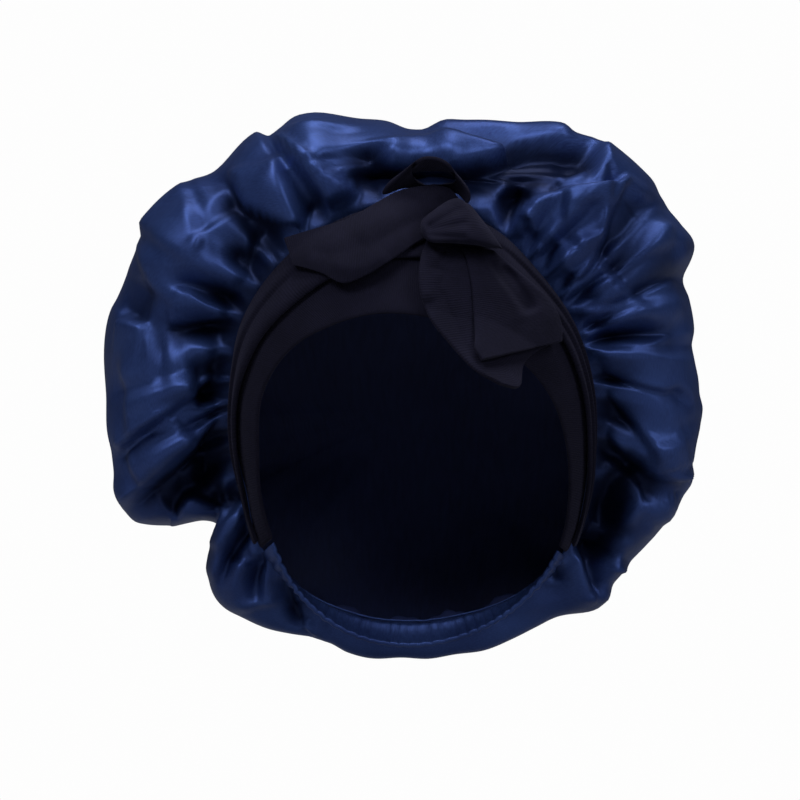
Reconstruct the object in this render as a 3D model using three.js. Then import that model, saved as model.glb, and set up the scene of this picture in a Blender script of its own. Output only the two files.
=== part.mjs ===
// A satin sleep bonnet, in millimetres, +Z up, with the face opening looking along -Y.
// The origin is the centre of the head hollow, level with the ears. Angles run clockwise
// from the top of the opening, as seen from in front, so 90 is at +X and -90 at -X.
//
// A full satin crown is gathered all round into a rim. The rim's front is a wide jersey
// head band that narrows towards the ears, and its back is a narrow casing at the nape.
// Two ties come up over the band from the ears and are knotted above the right eye.

import * as THREE from "three";

// ---------------------------------------------------------------- driving dimensions

const SATIN_WALL = 1.6;
const JERSEY_WALL = 2.2;
const LOOP_WALL = 1.1; // one layer, thin enough to turn the loop's tight corners
const CASING_WALL = 2.6;
const SEWN_GAP = 0.8; // between two edges that are sewn together
const LAID_GAP = 0.6; // between two layers that lie on each other

const BAND_ENDS = { left: -131, right: 130.5 };
const BAND_BULGE = 0.09; // of the band's width
const CROWN_ROUND = { front: 0.5, back: 0.56 }; // how full its curves are, 0.55 being round
const SATIN_SWELL = { height: 9, reach: 14 }; // how the satin stands up beyond the seam
const CROWN_BACK = { x: 0, y: 150, z: 5 }; // the middle of the crown's back
const OUTLINE_DEPTH = { atMiddle: 55, perHeight: -0.3 }; // the outline leans back towards the nape

// The rim's two edges, a row for each section of it. Reach is the distance from the origin
// as seen from in front. The face edge is free, and the satin is sewn to the seam edge. It
// leaves the seam at the heading: 0 is straight out, below zero forward and 90 straight back.
const RIM = [
  // [angle, face reach, face y, seam reach, seam y, heading]
  [-180, 119, 66, 107, 76, 90],
  [-165, 117, 63, 107, 73, 88],
  [-150, 109, 52, 106, 64, 75],
  [-131, 94, 28, 102, 50, 25],
  [-115, 85, 8, 91.5, 38, -5],
  [-100, 78.5, -10, 89.7, 25, -20],
  [-80, 76, -30, 90, 9, -25],
  [-60, 70, -53, 97, -6, -30],
  [-40, 61.5, -71, 102, -24, -30],
  [-20, 56, -81, 107, -35, -30],
  [0, 52.5, -84, 110, -40, -25],
  [20, 52, -82, 107, -35, -30],
  [40, 55, -74, 98.5, -24, -30],
  [60, 62, -60, 95, -6, -30],
  [80, 71.5, -40, 92, 9, -25],
  [100, 81, -12, 92.5, 25, -15],
  [115, 90, 8, 98, 38, 0],
  [130, 101, 28, 105.5, 50, 25],
  [150, 112, 52, 108, 64, 75],
  [165, 117, 63, 107, 73, 88],
].map(([angle, faceReach, faceY, seamReach, seamY, heading]) => {
  return { angle, faceReach, faceY, seamReach, seamY, heading };
});

// The crown's folds, ridges and valleys in turn, a row for each. A fold runs from its foot at
// the seam to its tip on the outline. Lift is its height, below zero for a valley, and reach
// is how far the outline stands from the origin at its tip.
const FOLDS = [
  // [foot angle, tip angle, lift, reach]
  [-178, -178, -2, 126],
  [-170, -171, 3, 128],
  [-162, -165, -3, 127.5],
  [-152, -160, 3, 125.5],
  [-142, -153, -5, 128.5],
  [-137, -146, 5, 133.5],
  [-133, -140.5, -4, 136.5],
  [-129, -134, 5, 139.5],
  [-124, -129, -5, 136],
  [-118, -124, 4, 126],
  [-112, -119.5, -7, 115.5],
  [-106, -116, 4, 121],
  [-101, -114, -9, 137],
  [-96, -111, -4, 152],
  [-93, -109, -8, 156],
  [-89.5, -106, 8, 158],
  [-86, -101, 0, 155],
  [-83, -97.5, 4, 155.2],
  [-80, -93, -3, 156.3],
  [-77, -88.5, 5, 157.5],
  [-73, -85, -4, 158.8],
  [-68, -77, 7, 163.5],
  [-63, -71, -4, 165.7],
  [-59, -65, 4, 165],
  [-55, -60, -5, 166.3],
  [-50, -54, 6, 168.5],
  [-45, -48, -5, 168.3],
  [-41, -42.5, 3, 166.5],
  [-37.5, -37.5, -6, 163.3],
  [-31, -28.3, 7, 168.5],
  [-25, -26.3, -5, 163.3],
  [-18, -20, 6, 167.5],
  [-8, -10, -6, 157.8],
  [-3, -4.5, 4, 154.5],
  [2, 0, -3, 149.8],
  [9, 8, 4, 151.3],
  [15, 14, -2, 155],
  [20.5, 20, 6, 158.5],
  [25, 26, -8, 166.5],
  [29.5, 31.5, 6, 171],
  [33, 35.5, -1, 172.8],
  [36.5, 39, 5, 174.5],
  [39.5, 42, -3, 175.3],
  [44, 45.5, 6, 175.8],
  [47.3, 48.2, -2, 173.5],
  [50.5, 51, 5, 172.6],
  [53, 54, -4, 172.8],
  [58, 58.5, 4, 172.8],
  [62, 62.6, -7, 160.5],
  [64.2, 66.5, 4, 158.4],
  [66, 72.2, -5, 155],
  [68.5, 75.5, 6, 151],
  [76, 84, -5, 151],
  [80, 88, 4, 153],
  [86, 96.8, -3, 148.7],
  [93, 102.5, 5, 152.4],
  [98.5, 106, -5, 149],
  [105, 115.5, 5, 143],
  [113, 121, -5, 140],
  [118.5, 125, 3, 138.3],
  [123.5, 128.8, -3, 138],
  [129.5, 135, 6, 140.8],
  [137, 142.5, -3, 130.3],
  [145, 148.5, 3, 128.3],
  [153, 155, -3, 128],
  [161, 162, 3, 128.3],
  [169, 169, -3, 126.5],
  [175.5, 175.5, 2, 127],
].map(([foot, tip, lift, reach]) => ({ foot, tip, lift, reach }));

// Long dents that run across the folds. Way is 0 at the seam, 1 on the outline and 2 at the
// middle of the back.
const DENTS = [
  // [angle, way, half the angle it spans, half the way it spans, depth]
  [16, 0.72, 18, 0.2, 9],
  [-60, 1.45, 30, 0.3, 9],
  [70, 1.55, 26, 0.3, 10],
  [150, 1.4, 30, 0.3, 7],
  [-140, 1.6, 28, 0.25, 8],
].map(([angle, way, halfAngle, halfWay, depth]) => ({ angle, way, halfAngle, halfWay, depth }));

// Strokes that shape the satin between the seam and the outline, as seen from in front. A fold
// is a ridge, or a valley if its height is below zero. A lap is a step: the cloth on the left
// of the stroke lies over the cloth on its right, or the other way round below zero.
const STROKES = [
  // [kind, how wide it fades, height, [x, z] of its points]
  // upper left: the flap that lies over both its neighbours
  ["lap", 20, 8, [[-73, 147], [-64, 137], [-57, 128], [-43, 109], [-42, 102]]],
  ["lap", 20, -7, [[-72, 146], [-59, 139], [-47, 131], [-27, 118], [-19, 110]]],
  ["lap", 22, -8, [[-46, 96], [-56, 98], [-70, 102], [-92, 121], [-95, 129]]],
  ["fold", 9, -8, [[-101, 116], [-88, 108], [-80, 95], [-68, 82]]],
  // top
  ["fold", 11, -10, [[-22, 142], [-20, 131], [-17, 116]]],
  // left
  ["fold", 22, 6, [[-130, 88], [-121, 100], [-107, 105]]],
  ["fold", 12, 6, [[-140, 78], [-130, 80], [-109, 75], [-88, 70], [-73, 67]]],
  ["fold", 9, -6, [[-147, 53], [-140, 62], [-134, 70]]],
  ["lap", 14, 7, [[-135, 50], [-152, 53]]],
  ["lap", 14, 9, [[-127, 49], [-114, 49], [-100, 51], [-82, 55]]],
  ["fold", 13, -8, [[-86, 51], [-102, 47], [-120, 39], [-135, 35]]],
  ["fold", 12, 6, [[-86, 52], [-103, 42], [-111, 31], [-130, 25]]],
  ["fold", 15, 6, [[-146, 5], [-127, 10], [-107, 17]]],
  // left, the two big laps
  ["lap", 14, 8, [[-151, -20], [-138, -8], [-124, 3], [-104, 19], [-89, 32]]],
  ["lap", 18, 14, [[-151, -49], [-136, -34], [-115, -19], [-105, -7], [-87, 14]]],
  ["fold", 16, 7, [[-143, -26], [-127, -18], [-112, -5]]],
  // left, under the big lap
  ["fold", 9, -7, [[-105, -16], [-106, -30], [-109, -44]]],
  ["lap", 12, -8, [[-104, -66], [-100, -57], [-98, -47], [-96, -12], [-93, 0]]],
  ["lap", 16, 10, [[-102, -88], [-96, -71], [-93, -63], [-88, -55], [-83, -44]]],
  // top right: the roll and the deep hollow under it
  ["lap", 16, -16, [[91, 120], [94, 139], [61, 142], [41, 140], [9, 132]]],
  ["fold", 14, -10, [[21, 126], [42, 133], [62, 136], [81, 134], [90, 127]]],
  ["fold", 9, 8, [[51, 127], [46, 116], [40, 108], [37, 100], [41, 94]]],
  ["fold", 9, -9, [[62, 116], [53, 111], [46, 104], [43, 95], [45, 84]]],
  // right, the puff with the turned edge
  ["lap", 16, -11, [[49, 80], [53, 105], [68, 115], [100, 119], [110, 126]]],
  ["lap", 12, -10, [[111, 124], [103, 106], [100, 96], [94, 82], [76, 68]]],
  ["fold", 12, -7, [[99, 74], [109, 84], [115, 107], [118, 117]]],
  ["fold", 14, -6, [[112, 62], [125, 75], [145, 82]]],
  // right, the dark pocket and the lit edge under it
  ["fold", 12, 6, [[81, 51], [109, 53], [146, 52]]],
  ["fold", 9, -12, [[85, 43], [105, 45], [125, 46], [145, 45]]],
  ["lap", 20, 8, [[87, 29], [103, 23], [118, 18], [138, 16], [149, 6]]],
  ["lap", 14, 8, [[97, 18], [105, 9], [112, 2], [125, -17], [127, -25]]],
  ["lap", 14, 10, [[94, 0], [112, -19], [121, -25], [133, -31], [151, -28]]],
  // right, the pockets under the puff
  ["fold", 9, -8, [[105, -18], [120, -26], [125, -36], [128, -43]]],
  ["fold", 18, -12, [[99, -30], [105, -42], [102, -57]]],
  ["lap", 16, -9, [[89, -58], [91, -74], [94, -84], [100, -98]]],
].map(([kind, wide, height, points]) => ({ kind, wide, height, points }));
const LAP_STEP = 4; // half the width that a lap rises over
const LAP_UNDER = 0.6; // how far its low side reaches, beside its high side
const FOLD_SHARP = 1.5; // 2 is the bell curve, and lower values have a sharper top
const STROKE_END = 0.16; // the share of a stroke that it fades in and out over

// The ties' straps, where they are laid in folds over the band. Low and high are the strap's
// edges across the band, 0 at the face edge and 1 at the seam.
const WRAP_LEFT = [
  // [angle, low, high]
  [-129, 0.5, 0.9],
  [-115, 0.46, 0.95],
  [-84, 0.41, 0.96],
  [-69, 0.35, 0.96],
  [-52, 0.34, 0.96],
  [-27, 0.37, 0.96],
  [0, 0.4, 0.95],
  [6, 0.42, 0.93],
];
const WRAP_RIGHT = [
  // [angle, low, high]
  [9, 0.43, 0.93],
  [30, 0.48, 0.95],
  [60, 0.52, 0.96],
  [92, 0.42, 0.96],
  [111, 0.4, 0.94],
  [128, 0.4, 0.88],
];
const WRAP_FOLDS = { left: 2, right: 3, height: 1.8 };
const WRAP_PINCH = 0.25; // the share of a strap at each end that its folds die away over

// The section of one fold of a strap, which overlaps the next like a tile.
const WRAP_TILE = [
  // [share of the fold, lift]
  [0, 0],
  [0.1, 1],
  [0.45, 0.75],
  [0.85, 0.15],
];
const WRAP_LAST_LIFT = 0.3;

// A tie's end, a row for each section of it from the knot outwards: x and z of one edge and
// of the other, how high they lie, and how far the cloth bellies out between them.
const TAIL_LEFT = [
  // [top x, top z, top height, low x, low z, low height, belly]
  [25, 112, 7.5, 13, 95, 7.5, 0.3],
  [20, 117, 8, 8, 92, 7.5, 0.8],
  [12, 119, 8, 3, 89, 7.5, 2],
  [1, 118, 8, -4, 84, 8, 3.6],
  [-8, 115.5, 8, -12, 78.5, 8.8, 4.5],
  [-19, 109.5, 8.5, -22, 72.5, 9, 4.5],
  [-31, 102.6, 8.5, -34, 68.6, 9, 4.5],
  [-43, 99, 8.5, -44, 73.6, 9, 4],
  [-54, 95.8, 8.5, -52.5, 76.5, 9.5, 3],
  [-64.5, 92.6, 8.5, -59.3, 78.5, 9.5, 1.5],
];
const TAIL_RIGHT = [
  // [under x, under z, under height, fold x, fold z, fold height, flap x, flap z, flap height]
  [8, 90, 6, 42, 86, 9.2, 26, 87, 10.6],
  [5, 80, 7.2, 53, 77, 11.1, 28.5, 78, 12.4],
  [4.5, 67, 7.2, 64, 68, 11.8, 30.5, 67.5, 13.4],
  [8.5, 52, 6.2, 71, 61.5, 10.7, 31.5, 54.5, 13],
  [18, 39, 5, 75.5, 54.5, 11, 32, 44, 13],
  [31, 25, 5, 77.5, 47.5, 11, 32.5, 36.5, 13],
  [44, 17.5, 5, 77.5, 40, 11, 36, 30.7, 12.5],
];

// How the end of the under layer is cut, from its edge to the fold: by how much each point is
// moved from the straight line.
const TAIL_CUT = [
  // [x, z]
  [0, 0],
  [1, -7],
  [-5, -1],
  [-4, 2],
  [0, 0],
];
const CUT_SHARP = 4; // the power of the way along the end that the cut shows with
const FOLD_ROUND = { from: 0.92, opens: 3 }; // where the layers part for the fold, and how far

// The loop of strap above the knot, a row for each section round it: its front edge and its
// back edge.
const LOOP = [
  // [front x, front y, front z, back x, back y, back z]
  [11.5, -46.1, 119.4, 10.4, -45.7, 115.9],
  [5.8, -45.8, 119.4, -3, -45.1, 117.4],
  [2.1, -49.2, 122.2, -12.9, -45.6, 113.9],
  [1, -58, 125.5, -14.2, -46.5, 116.2],
  [2, -64, 129.8, -9.5, -48, 121.8],
  [7, -66, 132.8, -1, -48, 126.2],
  [14, -66, 132.4, 9, -47.5, 127.6],
  [19.5, -64.5, 129.3, 20, -47.5, 126.8],
  [22, -61, 124.8, 28, -49, 119.5],
  [22.2, -54.9, 121.3, 30.8, -49, 113],
  [21.3, -49.1, 119.8, 28.4, -48.9, 109.6],
  [17.1, -46.4, 119.4, 23.7, -46.3, 114.4],
];

// The knot, as a soft pad that fans out from the pinch to the strap's full width, a row for
// each section of it.
const KNOT = [
  // [x, z, height, half width, half thickness, lean]
  [5, 93, 13.6, 0, 0, 70],
  [8, 94.5, 15.1, 6, 4, 66],
  [16, 97, 17.6, 9.5, 6, 62],
  [25, 99, 19.5, 13, 7.5, 60],
  [32, 99, 20, 15, 7.5, 57],
  [36, 98, 19.5, 14.5, 6, 54],
  [38.5, 97, 19, 12.5, 3.5, 54],
  [39.5, 96.5, 18.8, 0, 0, 54],
];
const KNOT_ROUND = 0.8; // below 1 its sections are squarer than an ellipse
const KNOT_RINGS = { first: 0.07, last: 0.96, count: 12 };

// The sections of the crown that its solid is built from, and how much of a fold's lift shows.
const CROWN_WAYS = [0, 0.09, 0.21, 0.34, 0.47, 0.6, 0.74, 0.88, 1, 1.16, 1.4, 1.7, 2];
const FOLD_SHOWN = 0.6;
const BACK_IS_PLAIN = 1.8; // the way at which the outline's lobes have died away
const LOBES_SPREAD = 24; // degrees to each side that the plain outline is the mean of

// Where folds and strokes come in and fade, on the way from the seam over the outline.
const FOLD_WAYS = { start: 0, full: 0.2, wane: 0.3, end: 0.9 };
const STROKE_WAYS = { start: 0.04, full: 0.16, wane: 0.8, outline: 1, end: 1.3 };
const AT_OUTLINE = 0.4; // the share of a stroke's lift that is left on the outline

// ---------------------------------------------------------------- materials

const satin = new THREE.MeshStandardMaterial({ color: 0x1d2f6b, roughness: 0.35, metalness: 0.4 });
const jersey = new THREE.MeshStandardMaterial({ color: 0x15152a, roughness: 0.9, metalness: 0 });

// ---------------------------------------------------------------- helpers

const radians = THREE.MathUtils.degToRad;
const smooth = (x) => THREE.MathUtils.smoothstep(x, 0, 1);
const rise = (x, from, to) => THREE.MathUtils.smoothstep(x, from, to);
const mix = (a, b, t) => a + (b - a) * t;

// A column of a table as a smooth function of an angle that wraps round at 360 degrees.
function column(rows, key, at = "angle") {
  const n = rows.length;
  const turn = (i) => 360 * Math.floor(i / n);
  const angle = (i) => rows[((i % n) + n) % n][at] + turn(i);
  const value = (i) => rows[((i % n) + n) % n][key];
  const slope = (i) => (value(i + 1) - value(i - 1)) / (angle(i + 1) - angle(i - 1));
  return (degrees) => {
    const a = degrees - 360 * Math.floor((degrees - angle(0)) / 360);
    let i = 0;
    while (angle(i + 1) <= a) i += 1;
    const step = angle(i + 1) - angle(i);
    const t = (a - angle(i)) / step;
    const t2 = t * t;
    const t3 = t2 * t;
    return (
      (2 * t3 - 3 * t2 + 1) * value(i) +
      (t3 - 2 * t2 + t) * step * slope(i) +
      (3 * t2 - 2 * t3) * value(i + 1) +
      (t3 - t2) * step * slope(i + 1)
    );
  };
}

// A point at an angle and a reach as seen from in front, and a depth.
function frontPoint(degrees, reach, y) {
  const a = radians(degrees);
  return new THREE.Vector3(reach * Math.sin(a), y, reach * Math.cos(a));
}

// A closed solid from a grid of outer points: rows of points, each row one step along. The
// wall goes inwards, against the grid's normals. The rows' ends meet if round is true, and
// the last row is a single point if its points are all the same.
function sheetSolid(grid, wall, round) {
  const rows = grid.length;
  const across = grid[0].length;
  const pole = grid[rows - 1][0].equals(grid[rows - 1][1]);
  const wrap = (j) => (round ? (j + across) % across : THREE.MathUtils.clamp(j, 0, across - 1));
  const normalAt = (i, j) => {
    const along = grid[Math.min(i + 1, rows - 1)][j].clone().sub(grid[Math.max(i - 1, 0)][j]);
    const side = grid[i][wrap(j + 1)].clone().sub(grid[i][wrap(j - 1)]);
    return side.cross(along).normalize();
  };
  const polar = new THREE.Vector3(0, 1, 0);
  const inwards = (i, j) => (pole && i === rows - 1 ? polar : normalAt(i, j));
  const inner = grid.map((row, i) => row.map((p, j) => p.clone().addScaledVector(inwards(i, j), -wall)));
  const positions = [];
  const face = (...points) => {
    for (let k = 1; k + 1 < points.length; k += 1) {
      for (const p of [points[0], points[k], points[k + 1]]) positions.push(p.x, p.y, p.z);
    }
  };
  const lastJ = round ? across : across - 1;
  for (let i = 0; i + 1 < rows; i += 1) {
    for (let j = 0; j < lastJ; j += 1) {
      const k = wrap(j + 1);
      if (pole && i + 2 === rows) {
        face(grid[i][j], grid[i][k], grid[i + 1][0]);
        face(inner[i][j], inner[i + 1][0], inner[i][k]);
      } else {
        face(grid[i][j], grid[i][k], grid[i + 1][k], grid[i + 1][j]);
        face(inner[i][j], inner[i + 1][j], inner[i + 1][k], inner[i][k]);
      }
    }
  }
  for (let j = 0; j < lastJ; j += 1) {
    const k = wrap(j + 1);
    const end = rows - 1;
    face(grid[0][k], grid[0][j], inner[0][j], inner[0][k]);
    if (!pole) face(grid[end][j], grid[end][k], inner[end][k], inner[end][j]);
  }
  for (let i = 0; !round && i + 1 < rows; i += 1) {
    const end = across - 1;
    face(grid[i][0], grid[i + 1][0], inner[i + 1][0], inner[i][0]);
    face(grid[i + 1][end], grid[i][end], inner[i][end], inner[i + 1][end]);
  }
  const geometry = new THREE.BufferGeometry();
  geometry.setAttribute("position", new THREE.Float32BufferAttribute(positions, 3));
  geometry.computeVertexNormals();
  return geometry;
}

function steps(from, to, count) {
  return Array.from({ length: count + 1 }, (_, i) => mix(from, to, i / count));
}

// ---------------------------------------------------------------- the rim's ribbon

const faceReach = column(RIM, "faceReach");
const faceY = column(RIM, "faceY");
const seamReach = column(RIM, "seamReach");
const seamY = column(RIM, "seamY");
const seamHeading = column(RIM, "heading");

// A point of the ribbon that band and casing are cut from. Across is 0 at the face edge and 1
// at the seam, and height is measured out from the ribbon's outer face.
function rimPoint(degrees, across, height = 0) {
  const at = (d) => [frontPoint(d, faceReach(d), faceY(d)), frontPoint(d, seamReach(d), seamY(d))];
  const [face, seam] = at(degrees);
  const [faceAfter, seamAfter] = at(degrees + 0.5);
  const width = seam.clone().sub(face);
  const along = faceAfter.add(seamAfter).sub(face).sub(seam);
  const out = along.cross(width).normalize();
  const bulge = BAND_BULGE * width.length() * Math.sin(Math.PI * THREE.MathUtils.clamp(across, 0, 1));
  return face.clone().addScaledVector(width, across).addScaledVector(out, bulge + height);
}

// The point that is seen from in front at x and z, and that lies at a height over the rim's
// ribbon, or over the satin where it swells up beyond the seam.
function lay(x, z, height) {
  const degrees = THREE.MathUtils.radToDeg(Math.atan2(x, z));
  const reach = Math.hypot(x, z);
  const width = seamReach(degrees) - faceReach(degrees);
  const over = height + SATIN_SWELL.height * smooth((reach - seamReach(degrees)) / SATIN_SWELL.reach);
  let across = (reach - faceReach(degrees)) / width;
  for (let k = 0; k < 8; k += 1) {
    const point = rimPoint(degrees, across, over);
    across -= (Math.hypot(point.x, point.z) - reach) / width;
  }
  return new THREE.Vector3(x, rimPoint(degrees, across, over).y, z);
}

function rimSheet(from, to, along, acrossSteps, wall) {
  const grid = acrossSteps.map((v) => steps(from, to, along).map((d) => rimPoint(d, v, wall / 2)));
  return sheetSolid(grid, wall, false);
}

// ---------------------------------------------------------------- the satin crown

const tipReach = column(FOLDS, "reach", "tip");

// How far the crown has smoothed out to its plain back, on the way behind the outline.
const backShare = (way) => rise(way, 1, BACK_IS_PLAIN);

// The outline without its lobes, which the back of the crown smooths out to.
function plainReach(degrees) {
  const spread = steps(-LOBES_SPREAD, LOBES_SPREAD, 4);
  return spread.reduce((sum, turn) => sum + tipReach(degrees + turn), 0) / spread.length;
}

// How much of a fold's lift shows, from the seam to the middle of the back.
function foldShare(way) {
  const { start, full, wane, end } = FOLD_WAYS;
  return FOLD_SHOWN * rise(way, start, full) * (1 - rise(way, wane, end));
}

// How much of a stroke's lift shows. It ends just behind the outline.
function strokeShare(way) {
  const { start, full, wane, outline, end } = STROKE_WAYS;
  const held = 1 - (1 - AT_OUTLINE) * rise(way, wane, outline);
  return rise(way, start, full) * held * (1 - rise(way, outline, end));
}

// How high one stroke lifts the point that is seen from in front at x and z.
function strokeLift({ kind, wide, height, line }, x, z) {
  let best = { far: Infinity };
  for (let i = 0; i + 1 < line.length; i += 1) {
    const step = line[i + 1].clone().sub(line[i]);
    const from = new THREE.Vector2(x, z).sub(line[i]);
    const t = THREE.MathUtils.clamp(from.dot(step) / step.lengthSq(), 0, 1);
    const off = from.addScaledVector(step, -t);
    const far = off.length();
    const place = (i + t) / (line.length - 1);
    if (far < best.far) best = { far, place, side: Math.sign(step.cross(off)) };
  }
  const ends = smooth(best.place / STROKE_END) * smooth((1 - best.place) / STROKE_END);
  if (kind === "fold") return height * ends * Math.exp(-((best.far / wide) ** FOLD_SHARP));
  const away = best.far * best.side * Math.sign(height);
  const over = 0.5 * Math.exp(-Math.max(away, 0) / wide);
  const under = -0.5 * Math.exp(Math.min(away, 0) / (LAP_UNDER * wide));
  return Math.abs(height) * ends * mix(under, over, smooth((away + LAP_STEP) / (2 * LAP_STEP)));
}

const strokeLines = STROKES.map((stroke) => {
  const points = stroke.points.map(([x, z]) => new THREE.Vector2(x, z));
  return { ...stroke, line: new THREE.SplineCurve(points).getPoints(12) };
});

function dentDepth(degrees, way) {
  return DENTS.reduce((sum, dent) => {
    const turn = ((degrees - dent.angle + 540) % 360) - 180;
    const far = Math.hypot(turn / dent.halfAngle, (way - dent.way) / dent.halfWay);
    return sum + dent.depth * (1 - smooth(far));
  }, 0);
}

// The crown's middle line at an angle, as a curve of reach and y: from the seam to the
// outline for a way of 0 to 1, and on to the middle of the back for a way of 1 to 2.
function crownCurve(degrees, way) {
  const height = tipReach(degrees) * Math.cos(radians(degrees));
  const outlineY = OUTLINE_DEPTH.atMiddle + OUTLINE_DEPTH.perHeight * height;
  if (way > 1) {
    const reach = mix(tipReach(degrees), plainReach(degrees), backShare(way));
    const full = CROWN_ROUND.back;
    return new THREE.CubicBezierCurve(
      new THREE.Vector2(reach, outlineY),
      new THREE.Vector2(reach, mix(outlineY, CROWN_BACK.y, full)),
      new THREE.Vector2(reach * full, CROWN_BACK.y),
      new THREE.Vector2(0, CROWN_BACK.y),
    );
  }
  const edge = rimPoint(degrees, 1);
  const sewn = edge.clone().addScaledVector(edge.clone().sub(rimPoint(degrees, 0)).normalize(), SEWN_GAP);
  const start = new THREE.Vector2(Math.hypot(sewn.x, sewn.z), sewn.y);
  const end = new THREE.Vector2(tipReach(degrees), outlineY);
  const far = CROWN_ROUND.front * start.distanceTo(end);
  const turn = radians(seamHeading(degrees));
  return new THREE.CubicBezierCurve(
    start,
    start.clone().add(new THREE.Vector2(Math.cos(turn), Math.sin(turn)).multiplyScalar(far)),
    end.clone().add(new THREE.Vector2(0, -far)),
    end,
  );
}

function crownPoint(foot, tip, lift, way) {
  if (way === 2) return new THREE.Vector3(CROWN_BACK.x, CROWN_BACK.y, CROWN_BACK.z);
  const degrees = mix(foot, tip, Math.sin((Math.min(way, 1) * Math.PI) / 2));
  const curve = crownCurve(degrees, way);
  const t = way > 1 ? way - 1 : way;
  const flat = curve.getPoint(t);
  const along = curve.getTangent(t);
  const lifted = (by) => frontPoint(degrees, flat.x + by * along.y, flat.y - by * along.x);
  const folded = foldShare(way) * lift - dentDepth(degrees, way);
  const seen = lifted(folded);
  const strokes = strokeLines.reduce((sum, stroke) => sum + strokeLift(stroke, seen.x, seen.z), 0);
  const point = lifted(folded + strokeShare(way) * strokes);
  const drift = new THREE.Vector3(CROWN_BACK.x, 0, CROWN_BACK.z);
  return point.addScaledVector(drift, backShare(way));
}

function crownGrid() {
  const lines = FOLDS.flatMap((fold, i) => {
    const next = FOLDS[(i + 1) % FOLDS.length];
    const turn = i + 1 === FOLDS.length ? 360 : 0;
    const between = {
      foot: (fold.foot + next.foot + turn) / 2,
      tip: (fold.tip + next.tip + turn) / 2,
      lift: (fold.lift + next.lift) / 2,
    };
    return [fold, between];
  });
  return CROWN_WAYS.map((way) => lines.map(({ foot, tip, lift }) => crownPoint(foot, tip, lift, way)));
}

// ---------------------------------------------------------------- the ties

// A row of a table as a smooth function of the way along it, from 0 to 1.
function rowAt(rows, way) {
  const line = (key) => rows.map((row) => row[key]);
  const place = way * (rows.length - 1);
  const i = Math.min(Math.floor(place), rows.length - 2);
  const t = place - i;
  return rows[0].map((_, key) => {
    const at = line(key);
    const before = at[i - 1] ?? 2 * at[i] - at[i + 1];
    const after = at[i + 2] ?? 2 * at[i + 1] - at[i];
    return THREE.MathUtils.clamp(
      catmull(before, at[i], at[i + 1], after, t),
      Math.min(at[i], at[i + 1]) - Math.abs(at[i + 1] - at[i]) / 4,
      Math.max(at[i], at[i + 1]) + Math.abs(at[i + 1] - at[i]) / 4,
    );
  });
}

function catmull(a, b, c, d, t) {
  const t2 = t * t;
  const t3 = t2 * t;
  return 0.5 * (2 * b + (c - a) * t + (2 * a - 5 * b + 4 * c - d) * t2 + (3 * b - a - 3 * c + d) * t3);
}

// A strap laid over the band in folds that overlap like tiles.
function wrapSheet(rows, along, folds) {
  const across = steps(0, folds - 1, folds - 1).flatMap((k) => {
    return WRAP_TILE.map(([at, lift]) => [(k + at) / folds, lift]);
  });
  across.push([1, WRAP_LAST_LIFT]);
  const base = JERSEY_WALL / 2 + LAID_GAP + JERSEY_WALL;
  const grid = across.map(([share, lift]) =>
    steps(0, 1, along).map((way) => {
      const [degrees, low, high] = rowAt(rows, way);
      const pinch = smooth(way / WRAP_PINCH) * smooth((1 - way) / WRAP_PINCH);
      return rimPoint(degrees, mix(low, high, share), base + WRAP_FOLDS.height * lift * pinch);
    }),
  );
  return sheetSolid(grid, JERSEY_WALL, false);
}

function tailLeftSheet() {
  const grid = steps(0, 1, 6).map((share) =>
    steps(0, 1, 18).map((way) => {
      const [topX, topZ, topHeight, lowX, lowZ, lowHeight, belly] = rowAt(TAIL_LEFT, way);
      const height = mix(topHeight, lowHeight, share) + belly * Math.sin(Math.PI * share);
      return lay(mix(topX, lowX, share), mix(topZ, lowZ, share), height);
    }),
  );
  return sheetSolid(grid.reverse(), JERSEY_WALL, false);
}

// The right-hand end is folded once along its length, so its section runs from the under
// edge to the fold and back to the edge of the flap.
function tailRightSheet() {
  const section = [
    ...steps(0, FOLD_ROUND.from, 5).map((share) => ({ under: share })),
    { fold: true },
    ...steps(FOLD_ROUND.from, 0, 5).map((share) => ({ flap: share })),
  ];
  const grid = section.map(({ under, flap, fold }) =>
    steps(0, 1, 15).map((way) => {
      const [underX, underZ, underH, foldX, foldZ, foldH, flapX, flapZ, flapH] = rowAt(TAIL_RIGHT, way);
      if (fold) return lay(foldX, foldZ, foldH);
      if (flap !== undefined) {
        const height = mix(flapH, foldH + FOLD_ROUND.opens, flap);
        return lay(mix(flapX, foldX, flap), mix(flapZ, foldZ, flap), height);
      }
      const [cutX, cutZ] = rowAt(TAIL_CUT, under).map((cut) => cut * way ** CUT_SHARP);
      const x = mix(underX, foldX, under) + cutX;
      const z = mix(underZ, foldZ, under) + cutZ;
      return lay(x, z, mix(underH, foldH - FOLD_ROUND.opens, under));
    }),
  );
  return sheetSolid(grid.reverse(), JERSEY_WALL, false);
}

function loopSheet() {
  const around = 24;
  const curve = (at) =>
    new THREE.CatmullRomCurve3(LOOP.map((row) => new THREE.Vector3(...row.slice(at, at + 3))), true);
  const [front, back] = [curve(0), curve(3)];
  const grid = steps(0, 1, 4).map((share) =>
    steps(0, 1 - 1 / around, around - 1).map((t) => front.getPoint(t).lerp(back.getPoint(t), share)),
  );
  return sheetSolid(grid, LOOP_WALL, true);
}

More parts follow.
